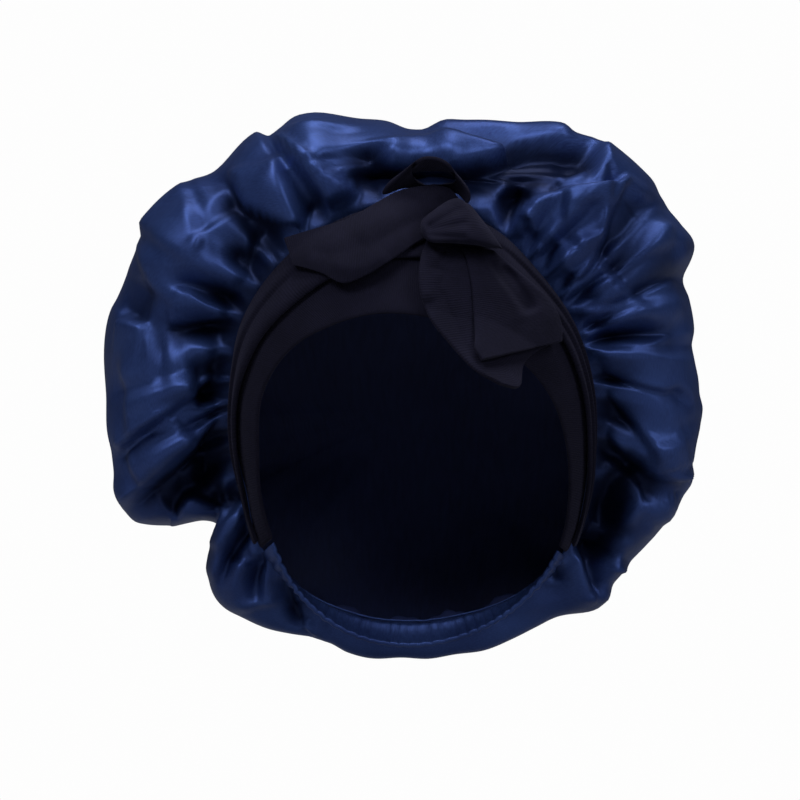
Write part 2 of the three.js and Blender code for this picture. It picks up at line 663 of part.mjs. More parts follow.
// A closed solid from rings of points, with its two ends drawn to points.
function ringSolid(rings, start, end) {
  const positions = [];
  const face = (...points) => points.forEach((p) => positions.push(p.x, p.y, p.z));
  const count = rings[0].length;
  for (let j = 0; j < count; j += 1) {
    const k = (j + 1) % count;
    face(start, rings[0][k], rings[0][j]);
    for (let i = 0; i + 1 < rings.length; i += 1) {
      face(rings[i][j], rings[i][k], rings[i + 1][k]);
      face(rings[i][j], rings[i + 1][k], rings[i + 1][j]);
    }
    face(rings.at(-1)[j], rings.at(-1)[k], end);
  }
  const geometry = new THREE.BufferGeometry();
  geometry.setAttribute("position", new THREE.Float32BufferAttribute(positions, 3));
  geometry.computeVertexNormals();
  return geometry;
}

function knotSolid() {
  const around = 20;
  const soften = (c) => Math.sign(c) * Math.abs(c) ** KNOT_ROUND;
  const ring = (way) => {
    const [x, z, height, half, thick, lean] = rowAt(KNOT, way);
    const turn = radians(lean);
    return steps(1 - 1 / around, 0, around - 1).map((share) => {
      const wide = half * soften(Math.cos(2 * Math.PI * share));
      const tall = thick * soften(Math.sin(2 * Math.PI * share));
      return lay(x + wide * Math.cos(turn), z - wide * Math.sin(turn), height + tall);
    });
  };
  const [first, last] = [KNOT[0], KNOT.at(-1)].map(([x, z, height]) => lay(x, z, height));
  return ringSolid(steps(KNOT_RINGS.first, KNOT_RINGS.last, KNOT_RINGS.count).map(ring), first, last);
}

// ---------------------------------------------------------------- the assembly

const bonnet = new THREE.Group();
bonnet.name = "sleep_bonnet";

function add(name, geometry, material) {
  const mesh = new THREE.Mesh(geometry, material);
  mesh.name = name;
  bonnet.add(mesh);
}

const ACROSS_BAND = [0, 0.2, 0.4, 0.6, 0.8, 1];
add("satin_crown", sheetSolid(crownGrid(), SATIN_WALL, true), satin);
add("head_band", rimSheet(BAND_ENDS.left, BAND_ENDS.right, 48, ACROSS_BAND, JERSEY_WALL), jersey);
add("nape_casing", rimSheet(BAND_ENDS.right + 1, BAND_ENDS.left + 359, 18, [0, 0.5, 1], CASING_WALL), satin);
add("wrap_left", wrapSheet(WRAP_LEFT, 20, WRAP_FOLDS.left), jersey);
add("wrap_right", wrapSheet(WRAP_RIGHT, 18, WRAP_FOLDS.right), jersey);
add("tail_left", tailLeftSheet(), jersey);
add("tail_right", tailRightSheet(), jersey);
add("loop", loopSheet(), jersey);
add("knot", knotSolid(), jersey);

export default bonnet;
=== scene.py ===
# %% [markdown]
# # A satin sleep bonnet with a tied jersey band
#
# This lesson dresses a bonnet that keeps hair tidy at night. A full crown of navy satin is
# gathered into a rim. The rim's front is a wide jersey head band, and its back is a narrow
# casing behind the neck. Two jersey ties lie over the band and are knotted above one brow.
#
# The solids of the frame say where every piece goes. Each cloth here starts as a flat grid,
# as real cloth starts as a flat cut, and is then laid along the same curves as its solid.

# %% Load the frame
import math

import bmesh
import bpy
import numpy as np
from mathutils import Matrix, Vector


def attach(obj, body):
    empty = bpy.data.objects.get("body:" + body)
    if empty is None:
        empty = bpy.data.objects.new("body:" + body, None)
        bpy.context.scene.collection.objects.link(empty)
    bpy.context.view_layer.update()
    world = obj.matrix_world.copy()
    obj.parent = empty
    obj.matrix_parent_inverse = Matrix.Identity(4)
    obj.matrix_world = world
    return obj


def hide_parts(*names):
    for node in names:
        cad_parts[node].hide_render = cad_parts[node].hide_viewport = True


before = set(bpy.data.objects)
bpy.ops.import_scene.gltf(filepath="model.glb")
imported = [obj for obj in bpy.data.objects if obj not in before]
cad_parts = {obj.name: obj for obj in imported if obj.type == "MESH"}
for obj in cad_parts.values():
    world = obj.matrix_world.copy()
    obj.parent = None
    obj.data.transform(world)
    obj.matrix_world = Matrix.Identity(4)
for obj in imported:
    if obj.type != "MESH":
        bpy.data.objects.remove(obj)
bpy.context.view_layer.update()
MM = 0.001
print("solids:", sorted(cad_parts))

# %% [markdown]
# ## The camera
#
# The bonnet is looked at from straight in front, level with the wearer's ears. A long lens
# from a few metres away draws it nearly without perspective, as goods are usually shown. A
# short lens from near by would swell the knot, which stands nearest.

# %% The camera
VIEW_FROM = 3.0
VIEW_WIDTH = 0.416
VIEW_MIDDLE = (-0.0052, 0.0104)
VIEW_PLANE_Y = 0.04  # the plane that is VIEW_WIDTH wide in the picture

camera_data = bpy.data.cameras.new("camera")
camera_data.sensor_width = 36.0
camera_data.lens = camera_data.sensor_width * VIEW_FROM / VIEW_WIDTH
camera_data.clip_end = 50.0
camera = bpy.data.objects.new("camera", camera_data)
camera.location = (VIEW_MIDDLE[0], VIEW_PLANE_Y - VIEW_FROM, VIEW_MIDDLE[1])
camera.rotation_euler = (math.pi / 2, 0, 0)
bpy.context.scene.collection.objects.link(camera)
bpy.context.scene.camera = camera
print("lens:", round(camera_data.lens), "mm")

# %% [markdown]
# ## The stage and the lamps
#
# A studio sets cloth goods on a pale sweep of paper. Here it is one bowl, turned from a
# profile: a flat floor that curves up into a wall all round, so that no edge of it shows
# behind the bonnet. A plain white plane would do for one view, but not for one from the side.
#
# Satin shows its folds by the shape of what it mirrors, and broad lamps draw long soft
# gleams along them, so two broad lamps stand in front on either side.

# %% The stage and the lamps
FLOOR_Z = -0.26
BOWL_STEPS = 64
BOWL_PROFILE = [(0.0, 0.0), (3.6, 0.0), (4.6, 0.25), (5.2, 0.9), (5.5, 1.9), (5.6, 3.4)]


def link(obj):
    bpy.context.scene.collection.objects.link(obj)
    return obj


def bowl():
    bm = bmesh.new()
    line = [bm.verts.new((r, 0, FLOOR_Z + z)) for r, z in BOWL_PROFILE]
    edges = [bm.edges.new(pair) for pair in zip(line, line[1:])]
    bmesh.ops.spin(
        bm, geom=line + edges, cent=(0, 0, 0), axis=(0, 0, 1), angle=math.tau,
        steps=BOWL_STEPS, use_merge=True,
    )
    bmesh.ops.remove_doubles(bm, verts=bm.verts, dist=1e-5)
    bmesh.ops.recalc_face_normals(bm, faces=bm.faces)
    bmesh.ops.reverse_faces(bm, faces=bm.faces)
    mesh = bpy.data.meshes.new("stage_bowl")
    bm.to_mesh(mesh)
    bm.free()
    for face in mesh.polygons:
        face.use_smooth = True
    return link(bpy.data.objects.new("stage_bowl", mesh))


def lamp(name, place, size, watts):
    """A broad lamp that looks at the middle of the bonnet."""
    data = bpy.data.lights.new(name, "AREA")
    data.shape = "RECTANGLE"
    data.size, data.size_y = size
    data.energy = watts
    obj = link(bpy.data.objects.new(name, data))
    obj.location = place
    obj.rotation_euler = (-Vector(place)).to_track_quat("-Z", "Y").to_euler()


def bright_to_the_eye(tree, shader, output, strength):
    """Mixes a plain glow in where the camera looks, so that a pale stage stays pale."""
    glow = tree.nodes.new("ShaderNodeEmission")
    glow.inputs["Color"].default_value = (1, 1, 1, 1)
    glow.inputs["Strength"].default_value = strength
    path = tree.nodes.new("ShaderNodeLightPath")
    blend = tree.nodes.new("ShaderNodeMixShader")
    tree.links.new(path.outputs["Is Camera Ray"], blend.inputs[0])
    tree.links.new(shader, blend.inputs[1])
    tree.links.new(glow.outputs[0], blend.inputs[2])
    tree.links.new(blend.outputs[0], output)


STAGE_GREY = 0.35
STAGE_ROUGH = 0.9
STAGE_GLOW = 0.985
ROOM_LIGHT = 0.06
LAMPS = [
    # name, place, width and height, watts
    ("key_lamp", (-1.0, -1.7, 1.8), (1.4, 1.0), 40),
    ("fill_lamp", (1.5, -1.8, 1.2), (1.0, 1.2), 22),
    ("top_lamp", (0.2, -0.2, 2.2), (1.6, 1.0), 30),
]

stage = bowl()
stage_paint = bpy.data.materials.new("stage_paint")
stage_paint.use_nodes = True
paint = stage_paint.node_tree.nodes["Principled BSDF"]
paint.inputs["Base Color"].default_value = (STAGE_GREY, STAGE_GREY, STAGE_GREY, 1)
paint.inputs["Roughness"].default_value = STAGE_ROUGH
bright_to_the_eye(
    stage_paint.node_tree, paint.outputs[0],
    stage_paint.node_tree.nodes["Material Output"].inputs["Surface"], STAGE_GLOW,
)
stage.data.materials.append(stage_paint)

for lamp_row in LAMPS:
    lamp(*lamp_row)

world = bpy.data.worlds.new("pale_room")
world.use_nodes = True
room = world.node_tree.nodes["Background"]
room.inputs["Color"].default_value = (1.0, 1.0, 1.0, 1)
room.inputs["Strength"].default_value = ROOM_LIGHT
bright_to_the_eye(
    world.node_tree, room.outputs[0],
    world.node_tree.nodes["World Output"].inputs["Surface"], STAGE_GLOW,
)
bpy.context.scene.world = world
bpy.context.scene.view_settings.view_transform = "Standard"
print("stage and lamps are in place")

# %% [markdown]
# ## Tables that turn into curves
#
# A maker notes a pattern as a short table: at this angle, this wide and this deep. Between
# the rows the cloth runs on smoothly, so a helper turns each column into a smooth function.
# Angles run clockwise from the top of the face opening, as seen from in front, and the
# measures in the tables are in millimetres.

# %% Smooth columns
def smooth(x):
    x = np.clip(x, 0.0, 1.0)
    return x * x * (3 - 2 * x)


def mix(a, b, t):
    return a + (b - a) * t


def curve_through(places, values, turn=None):
    """A smooth function through the values. It repeats after a turn, if one is given."""
    x = np.array(places, float)
    y = np.array(values, float)
    if turn:
        x = np.concatenate([x[-2:] - turn, x, x[:2] + turn])
        y = np.concatenate([y[-2:], y, y[:2]])
    else:
        x = np.concatenate([[2 * x[0] - x[1]], x, [2 * x[-1] - x[-2]]])
        y = np.concatenate([[2 * y[0] - y[1]], y, [2 * y[-1] - y[-2]]])
    slope = np.zeros_like(y)
    slope[1:-1] = (y[2:] - y[:-2]) / (x[2:] - x[:-2])

    def at(place):
        p = np.asarray(place, float)
        if turn:
            p = p - turn * np.floor((p - x[2]) / turn)
        i = np.clip(np.searchsorted(x, p, side="right") - 1, 1, len(x) - 3)
        step = x[i + 1] - x[i]
        t = (p - x[i]) / step
        t2, t3 = t * t, t * t * t
        return (
            (2 * t3 - 3 * t2 + 1) * y[i]
            + (t3 - 2 * t2 + t) * step * slope[i]
            + (3 * t2 - 2 * t3) * y[i + 1]
            + (t3 - t2) * step * slope[i + 1]
        )

    return at


print("halfway up a step the smooth curve is at", float(smooth(0.5)))

# %% [markdown]
# ## The rim
#
# Band and casing are one ribbon that runs round the head. The table gives its free edge at
# the face and the edge that the satin is sewn to. The last column is the way the satin
# heads off from the seam: 0 is straight out, below zero forward, and 90 straight back.

# %% The rim's ribbon
JERSEY_WALL = 2.2
LAID_GAP = 0.6
BAND_ENDS = (-131.0, 130.5)
BAND_BULGE = 0.09
RIM = np.array([
    # angle, face reach, face y, seam reach, seam y, heading
    [-180, 119, 66, 107, 76, 90],
    [-165, 117, 63, 107, 73, 88],
    [-150, 109, 52, 106, 64, 75],
    [-131, 94, 28, 102, 50, 25],
    [-115, 85, 8, 91.5, 38, -5],
    [-100, 78.5, -10, 89.7, 25, -20],
    [-80, 76, -30, 90, 9, -25],
    [-60, 70, -53, 97, -6, -30],
    [-40, 61.5, -71, 102, -24, -30],
    [-20, 56, -81, 107, -35, -30],
    [0, 52.5, -84, 110, -40, -25],
    [20, 52, -82, 107, -35, -30],
    [40, 55, -74, 98.5, -24, -30],
    [60, 62, -60, 95, -6, -30],
    [80, 71.5, -40, 92, 9, -25],
    [100, 81, -12, 92.5, 25, -15],
    [115, 90, 8, 98, 38, 0],
    [130, 101, 28, 105.5, 50, 25],
    [150, 112, 52, 108, 64, 75],
    [165, 117, 63, 107, 73, 88],
])
face_reach, face_y, seam_reach, seam_y, seam_heading = [
    curve_through(RIM[:, 0], RIM[:, i], turn=360) for i in range(1, 6)
]


def front_point(angle, reach, y):
    a = np.radians(angle)
    x, y, z = np.broadcast_arrays(reach * np.sin(a), y, reach * np.cos(a))
    return np.stack([x, y, z], axis=-1)


def unit(v):
    return v / np.maximum(np.linalg.norm(v, axis=-1, keepdims=True), 1e-9)


def rim_point(angle, across, height=0.0):
    """A point of the ribbon: across is 0 at the face edge and 1 at the seam."""
    across = np.asarray(across, float)[..., None]
    height = np.asarray(height, float)[..., None]
    face = front_point(angle, face_reach(angle), face_y(angle))
    seam = front_point(angle, seam_reach(angle), seam_y(angle))
    later = np.asarray(angle, float) + 0.5
    width = seam - face
    along = front_point(later, face_reach(later), face_y(later)) - face
    along = along + front_point(later, seam_reach(later), seam_y(later)) - seam
    out = unit(np.cross(along, width))
    bulge = BAND_BULGE * np.linalg.norm(width, axis=-1, keepdims=True)
    bulge = bulge * np.sin(np.pi * np.clip(across, 0, 1))
    return face + width * across + out * (bulge + height)


print("the ribbon is", round(float(np.linalg.norm(rim_point(0, 1) - rim_point(0, 0)))), "mm wide")

# %% [markdown]
# ## From a flat grid to a laid cloth
#
# Real cloth is cut flat and then laid in its form, and the same is done here. An operator
# makes a flat grid. Every point of it knows where it lies in the flat cut, which becomes the
# cloth's UV map, in metres, so that threads follow the cloth. Then each point is moved to
# its place, and a few passes of smoothing take out what is too sharp for the cloth. A
# Solidify modifier gives the wall. It can give the wrong side a finish of its own.

# %% Cloth from a grid
def strip(width, length):
    """The flat cut of a plain strip, in metres."""
    return lambda u, v: np.stack([u * width, v * length], -1)


def cloth(
    name, columns, rows, lay, cut, wall, finishes, relax=0, rounded=1, flip=False, painted_shade=None
):
    """A sheet of cloth. lay takes u and v, from 0 to 1, and gives points in millimetres.

    The optional painted-shade function takes them too, and gives how deep in a fold each point
    lies, from 0 to 1; the satin's colour is darkened with it as painted shade.
    """
    bm = bmesh.new()
    bmesh.ops.create_grid(bm, x_segments=columns, y_segments=rows, size=0.5)
    flat = np.array([v.co[:2] for v in bm.verts]) + 0.5
    pattern = cut(flat[:, 0], flat[:, 1])
    uv = bm.loops.layers.uv.new("cut")
    # A point attribute for painted shade: how deep in a fold each point lies.
    if painted_shade:
        depth = bm.verts.layers.float.new("painted_shade")
        for vert, deep in zip(bm.verts, painted_shade(flat[:, 0], flat[:, 1])):
            vert[depth] = deep
    for face in bm.faces:
        face.smooth = True
        for loop in face.loops:
            loop[uv].uv = pattern[loop.vert.index]
    points = lay(flat[:, 0], flat[:, 1]) * MM
    for vert, point in zip(bm.verts, points):
        vert.co = point
    bmesh.ops.remove_doubles(bm, verts=bm.verts, dist=1e-6)
    inside = [vert for vert in bm.verts if not vert.is_boundary]
    for _ in range(relax):
        bmesh.ops.smooth_vert(
            bm, verts=inside, factor=0.5, use_axis_x=True, use_axis_y=True, use_axis_z=True
        )
    if flip:
        bmesh.ops.reverse_faces(bm, faces=bm.faces)
    if not wall:
        bmesh.ops.recalc_face_normals(bm, faces=bm.faces)
    mesh = bpy.data.meshes.new(name)
    bm.to_mesh(mesh)
    bm.free()
    for finish in finishes:
        mesh.materials.append(finish)
    obj = link(bpy.data.objects.new(name, mesh))
    if wall:
        solid = obj.modifiers.new("wall", "SOLIDIFY")
        solid.thickness = wall * MM
        solid.offset = -1
        solid.material_offset = len(finishes) - 1
    if rounded:
        soften = obj.modifiers.new("soften", "SUBSURF")
        soften.levels = soften.render_levels = rounded
    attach(obj, "root")
    return obj


print("a strip's far corner lies at", strip(0.2, 0.04)(1, 1), "metres of its cut")

# %% [markdown]
# ## Building materials from nodes
#
# Bonnets like this are made of two cloths, satin and jersey, and each gets a material. A
# material is a tree of nodes. It could be joined up by hand in the editor. Written out it is
# long, so three helpers make a group, a node with its settings, and a sum of two values.

# %% Node helpers
def new_group(name, inputs, outputs):
    group = bpy.data.node_groups.new(name, "ShaderNodeTree")
    for label, kind, default in inputs:
        socket = group.interface.new_socket(label, in_out="INPUT", socket_type=kind)
        socket.default_value = default
    for label, kind in outputs:
        group.interface.new_socket(label, in_out="OUTPUT", socket_type=kind)
    return group, group.nodes.new("NodeGroupInput"), group.nodes.new("NodeGroupOutput")


def node(tree, kind, values=None, **settings):
    made = tree.nodes.new(kind)
    for key, value in settings.items():
        setattr(made, key, value)
    for key, value in (values or {}).items():
        made.inputs[key].default_value = value
    return made


def join(tree, *pairs):
    for out_socket, in_socket in pairs:
        tree.links.new(out_socket, in_socket)


def math_node(tree, operation, a, b=None):
    made = node(tree, "ShaderNodeMath", operation=operation)
    for socket, value in zip(made.inputs, (a, b)):
        if value is None:
            continue
        if isinstance(value, (int, float)):
            socket.default_value = value
        else:
            tree.links.new(value, socket)
    return made.outputs[0]


print("node helpers are ready")

# %% [markdown]
# ### The thread effect
#
# Both cloths are made of threads that run side by side and swell and thin on their way. A
# picture of cloth could be repeated over them, but it would show its seams. Here a noise is
# stretched long in the cloth's own UV map, so the threads follow the cloth in every fold.
# Both materials use the same effect, so it is a node group. It gives only a height and a
# tone, and each material decides what to do with them.

# %% The thread effect
def thread_group():
    """Rows of threads along V: how high each stands, and how its tone differs."""
    group, given, result = new_group(
        "thread_rows",
        [
            ("UV", "NodeSocketVector", (0, 0, 0)),
            ("Threads per metre", "NodeSocketFloat", 2000.0),
            ("Swells per metre", "NodeSocketFloat", 60.0),
        ],
        [("Height", "NodeSocketFloat"), ("Tone", "NodeSocketFloat")],
    )
    parts = node(group, "ShaderNodeSeparateXYZ")
    across = math_node(group, "MULTIPLY", parts.outputs["X"], given.outputs["Threads per metre"])
    along = math_node(group, "MULTIPLY", parts.outputs["Y"], given.outputs["Swells per metre"])
    place = node(group, "ShaderNodeCombineXYZ")
    rough = node(group, "ShaderNodeTexNoise", {"Scale": 1.0, "Detail": 2.0, "Roughness": 0.6})
    ridge = math_node(group, "PINGPONG", across, 0.5)
    mixed = math_node(group, "MULTIPLY", ridge, 1.2)
    join(
        group,
        (given.outputs["UV"], parts.inputs[0]),
        (across, place.inputs["X"]),
        (along, place.inputs["Y"]),
        (place.outputs[0], rough.inputs["Vector"]),
        (math_node(group, "ADD", mixed, rough.outputs["Fac"]), result.inputs["Height"]),
        (rough.outputs["Fac"], result.inputs["Tone"]),
    )
    return group


THREADS = thread_group()


def threads(tree, per_metre, swells):
    made = node(tree, "ShaderNodeGroup")
    made.node_tree = THREADS
    made.inputs["Threads per metre"].default_value = per_metre
    made.inputs["Swells per metre"].default_value = swells
    cut = node(tree, "ShaderNodeUVMap", uv_map="cut")
    join(tree, (cut.outputs[0], made.inputs["UV"]))
    return made


def tone_ramp(tree, factor, stops):
    ramp = node(tree, "ShaderNodeValToRGB")
    ramp.color_ramp.elements[0].position, ramp.color_ramp.elements[0].color = stops[0]
    ramp.color_ramp.elements[1].position, ramp.color_ramp.elements[1].color = stops[-1]
    for position, colour in stops[1:-1]:
        ramp.color_ramp.elements.new(position).color = colour
    join(tree, (factor, ramp.inputs["Fac"]))
    return ramp.outputs["Color"]


print("the thread effect has", len(THREADS.nodes), "nodes")

# %% [markdown]
# ### Satin
#
# Satin is woven so that long threads float on its face. They lie side by side like brushed
# hairs, so a gleam spreads across them and not along them. The Anisotropic socket does that,
# with its tangent taken from the cloth's own UV map. The gleam of dyed thread is coloured,
# so the metallic socket is well up. A coat would give a white gleam, like plastic.
#
# The crown also knows how deep in a fold each point lies. Little light gets in there and
# satin has no gleam of its own, so the satin's colour is darkened with that depth: painted
# shade. The cloth's wrong side is duller, with hardly any gleam. What satin and jersey share is
# written once.

# %% Satin
SATIN_DARK = (0.018, 0.034, 0.130, 1)
SATIN_LIGHT = (0.036, 0.070, 0.232, 1)
# The colour that the satin is darkened towards deep in its folds: painted shade.
SATIN_SHADE = (0.001, 0.002, 0.010, 1)
WRONG_SIDE_DARK = (0.010, 0.015, 0.055, 1)
WRONG_SIDE_LIGHT = (0.016, 0.024, 0.082, 1)
SATIN_METAL = 0.62
WRONG_SIDE_METAL = 0.1
SATIN_GLOSS = (0.40, 0.50)
WRONG_SIDE_GLOSS = (0.6, 0.75)
SATIN_SPREAD = 0.45
SATIN_SPECULAR = 0.15
# How far the deepest folds are darkened: painted shade.
SHADE_STRENGTH = 0.84
SATIN_WEAVE = {
    "threads": (1500.0, 240.0), "cloud": {"Scale": 26.0, "Detail": 3.0},
    "toned by": ("Tone", 0.45, 0.55), "stops": (0.35, 0.65),
    "bump": {"Strength": 0.2, "Distance": 0.0002},
}


def woven(name, weave, dark, light, rough_range):
    """What both cloths share: threads give a tone, a roughness and a bump."""
    material = bpy.data.materials.new(name)
    material.use_nodes = True
    tree = material.node_tree
    skin = tree.nodes["Principled BSDF"]
    made = threads(tree, *weave["threads"])
    place = node(tree, "ShaderNodeTexCoord")
    cloud = node(tree, "ShaderNodeTexNoise", weave["cloud"])
    output, cloud_share, thread_share = weave["toned by"]
    tone = math_node(
        tree, "ADD", math_node(tree, "MULTIPLY", cloud.outputs["Fac"], cloud_share),
        math_node(tree, "MULTIPLY", made.outputs[output], thread_share),
    )
    colour = tone_ramp(tree, tone, list(zip(weave["stops"], (dark, light))))
    rough = node(tree, "ShaderNodeMapRange", {"To Min": rough_range[0], "To Max": rough_range[1]})
    bump = node(tree, "ShaderNodeBump", weave["bump"])
    join(
        tree,
        (place.outputs["Object"], cloud.inputs["Vector"]),
        (colour, skin.inputs["Base Color"]),
        (made.outputs["Tone"], rough.inputs["Value"]),
        (rough.outputs["Result"], skin.inputs["Roughness"]),
        (made.outputs["Height"], bump.inputs["Height"]),
        (bump.outputs["Normal"], skin.inputs["Normal"]),
    )
    return material, tree, skin, colour


def satin_material(name, dark, light, metallic, gloss_range):
    material, tree, skin, colour = woven(name, SATIN_WEAVE, dark, light, gloss_range)
    skin.inputs["Metallic"].default_value = metallic
    skin.inputs["Anisotropic"].default_value = SATIN_SPREAD
    skin.inputs["Specular IOR Level"].default_value = SATIN_SPECULAR
    # Painted shade: the colour is mixed towards the dark fold colour by how deep in a fold each
    # point lies.
    painted_shade = node(tree, "ShaderNodeAttribute", attribute_name="painted_shade")
    shade_mix = node(tree, "ShaderNodeMix", data_type="RGBA")
    colour_in, shade_in = [socket for socket in shade_mix.inputs if socket.type == "RGBA"]
    colour_out = next(socket for socket in shade_mix.outputs if socket.type == "RGBA")
    shade_in.default_value = SATIN_SHADE
    tangent = node(tree, "ShaderNodeTangent", direction_type="UV_MAP", uv_map="cut")
    join(
        tree,
        (math_node(tree, "MULTIPLY", painted_shade.outputs["Fac"], SHADE_STRENGTH), shade_mix.inputs["Factor"]),
        (colour, colour_in),
        (colour_out, skin.inputs["Base Color"]),
        (tangent.outputs["Tangent"], skin.inputs["Tangent"]),
    )
    return material


print("satin can be made")

# %% [markdown]
# ### Jersey
#
# Jersey is knitted: columns of small loops, matt and slightly hairy. The columns could be
# modelled, but they are under a millimetre wide. The thread effect gives them as a bump and
# a tone, with high roughness, hardly any gleam and a little sheen for the hairs.

# %% Jersey
JERSEY_DARK = (0.0030, 0.0030, 0.0080, 1)
JERSEY_LIGHT = (0.0074, 0.0072, 0.0185, 1)
JERSEY_ROUGH = (0.75, 0.95)
JERSEY_KNIT = {
    "threads": (900.0, 260.0), "cloud": {"Scale": 60.0, "Detail": 4.0},
    "toned by": ("Height", 0.4, 0.4), "stops": (0.3, 0.75),
    "bump": {"Strength": 0.6, "Distance": 0.0004},
}
JERSEY_HAIRS = {
    "Sheen Weight": 0.05, "Sheen Roughness": 0.5, "Sheen Tint": (0.5, 0.5, 0.85, 1),
    "Specular IOR Level": 0.06,
}


def jersey_material(name):
    material, _, skin, _ = woven(name, JERSEY_KNIT, JERSEY_DARK, JERSEY_LIGHT, JERSEY_ROUGH)
    for label, value in JERSEY_HAIRS.items():
        skin.inputs[label].default_value = value
    return material


satin = satin_material("navy_satin", SATIN_DARK, SATIN_LIGHT, SATIN_METAL, SATIN_GLOSS)
wrong_side = satin_material(
    "satin_wrong_side", WRONG_SIDE_DARK, WRONG_SIDE_LIGHT, WRONG_SIDE_METAL, WRONG_SIDE_GLOSS
)
jersey = jersey_material("dark_navy_jersey")
print("finishes:", satin.name, wrong_side.name, jersey.name)

# %% [markdown]
# ## The satin crown
#
# The crown is a wide disc of satin, gathered into the rim, so it is all folds: fine and
# close at the seam, broad and soft at its outline. They could be simulated, but a simulation
# folds where it likes. Here the folds come from the same table as the solid's, a row for
# each ridge and valley, and finer gathers are added that run out from the seam.

# %% The crown's form
CROWN_FULL = (0.5, 0.56)
CROWN_BACK = np.array([0.0, 150.0, 5.0])
OUTLINE_Y = 55.0
OUTLINE_LEAN = -0.3
SEWN_GAP = 0.8
LOBES_FADE = 0.8  # the way behind the outline in which its lobes die away
LOBES_MEAN = (-24, -12, 0, 12, 24)  # degrees over which the plain outline is the mean
FOLDS = np.array([
    # foot angle, tip angle, lift, reach
    [-178, -178, -2, 126],
    [-170, -171, 3, 128],
    [-162, -165, -3, 127.5],
    [-152, -160, 3, 125.5],
    [-142, -153, -5, 128.5],
    [-137, -146, 5, 133.5],
    [-133, -140.5, -4, 136.5],
    [-129, -134, 5, 139.5],
    [-124, -129, -5, 136],
    [-118, -124, 4, 126],
    [-112, -119.5, -7, 115.5],
    [-106, -116, 4, 121],
    [-101, -114, -9, 137],
    [-96, -111, -4, 152],
    [-93, -109, -8, 156],
    [-89.5, -106, 8, 158],
    [-86, -101, 0, 155],
    [-83, -97.5, 4, 155.2],
    [-80, -93, -3, 156.3],
    [-77, -88.5, 5, 157.5],
    [-73, -85, -4, 158.8],
    [-68, -77, 7, 163.5],
    [-63, -71, -4, 165.7],
    [-59, -65, 4, 165],
    [-55, -60, -5, 166.3],
    [-50, -54, 6, 168.5],
    [-45, -48, -5, 168.3],
    [-41, -42.5, 3, 166.5],
    [-37.5, -37.5, -6, 163.3],
    [-31, -28.3, 7, 168.5],
    [-25, -26.3, -5, 163.3],
    [-18, -20, 6, 167.5],
    [-8, -10, -6, 157.8],
    [-3, -4.5, 4, 154.5],
    [2, 0, -3, 149.8],
    [9, 8, 4, 151.3],
    [15, 14, -2, 155],
    [20.5, 20, 6, 158.5],
    [25, 26, -8, 166.5],
    [29.5, 31.5, 6, 171],
    [33, 35.5, -1, 172.8],
    [36.5, 39, 5, 174.5],
    [39.5, 42, -3, 175.3],
    [44, 45.5, 6, 175.8],
    [47.3, 48.2, -2, 173.5],
    [50.5, 51, 5, 172.6],
    [53, 54, -4, 172.8],
    [58, 58.5, 4, 172.8],
    [62, 62.6, -7, 160.5],
    [64.2, 66.5, 4, 158.4],
    [66, 72.2, -5, 155],
    [68.5, 75.5, 6, 151],
    [76, 84, -5, 151],
    [80, 88, 4, 153],
    [86, 96.8, -3, 148.7],
    [93, 102.5, 5, 152.4],
    [98.5, 106, -5, 149],
    [105, 115.5, 5, 143],
    [113, 121, -5, 140],
    [118.5, 125, 3, 138.3],
    [123.5, 128.8, -3, 138],
    [129.5, 135, 6, 140.8],
    [137, 142.5, -3, 130.3],
    [145, 148.5, 3, 128.3],
    [153, 155, -3, 128],
    [161, 162, 3, 128.3],
    [169, 169, -3, 126.5],
    [175.5, 175.5, 2, 127],
])
DENTS = np.array([
    # angle, way, half the angle it spans, half the way it spans, depth
    [16, 0.72, 18, 0.2, 9],
    [-60, 1.45, 30, 0.3, 9],
    [70, 1.55, 26, 0.3, 10],
    [150, 1.4, 30, 0.3, 7],
    [-140, 1.6, 28, 0.25, 8],
])
feet = np.append(FOLDS[:, 0], FOLDS[0, 0] + 360)
tips = np.append(FOLDS[:, 1], FOLDS[0, 1] + 360)
lifts = np.append(FOLDS[:, 2], FOLDS[0, 2])
tip_reach = curve_through(FOLDS[:, 1], FOLDS[:, 3], turn=360)


def plain_reach(angle):
    return sum(tip_reach(angle + turn) for turn in LOBES_MEAN) / len(LOBES_MEAN)


def bezier(a, b, c, d, t):
    s = 1 - t
    point = s**3 * a + 3 * s * s * t * b + 3 * s * t * t * c + t**3 * d
    along = 3 * s * s * (b - a) + 6 * s * t * (c - b) + 3 * t * t * (d - c)
    return point, along


def crown_curve(angle, way):
    """The crown's middle line at an angle, as reach and y, and the way it runs there."""
    outline = tip_reach(angle)
    outline_y = OUTLINE_Y + OUTLINE_LEAN * outline * np.cos(np.radians(angle))
    seam = rim_point(angle, 1.0)
    seam = seam + unit(seam - rim_point(angle, 0.0)) * SEWN_GAP
    start = np.stack([np.hypot(seam[..., 0], seam[..., 2]), seam[..., 1]], -1)
    end = np.stack([outline, outline_y], -1)
    far = (CROWN_FULL[0] * np.linalg.norm(end - start, axis=-1))[..., None]
    turn = np.radians(seam_heading(angle))
    off = np.stack([np.cos(turn), np.sin(turn)], -1)
    front = np.clip(way, 0, 1)[..., None]
    front_point_, front_along = bezier(start, start + off * far, end - [0, 1] * far, end, front)
    back = np.clip(way - 1, 0, 1)
    reach = mix(outline, plain_reach(angle), smooth(back / LOBES_FADE))
    full = CROWN_FULL[1]
    middle = CROWN_BACK[1] * np.ones_like(reach)
    back_point, back_along = bezier(
        np.stack([reach, outline_y], -1),
        np.stack([reach, mix(outline_y, middle, full)], -1),
        np.stack([reach * full, middle], -1),
        np.stack([reach * 0, middle], -1),
        back[..., None],
    )
    behind = (way > 1)[..., None]
    return np.where(behind, back_point, front_point_), np.where(behind, back_along, front_along)


def angle_on_crown(foot, tip, way):
    return mix(foot, tip, np.sin(np.minimum(way, 1) * np.pi / 2))


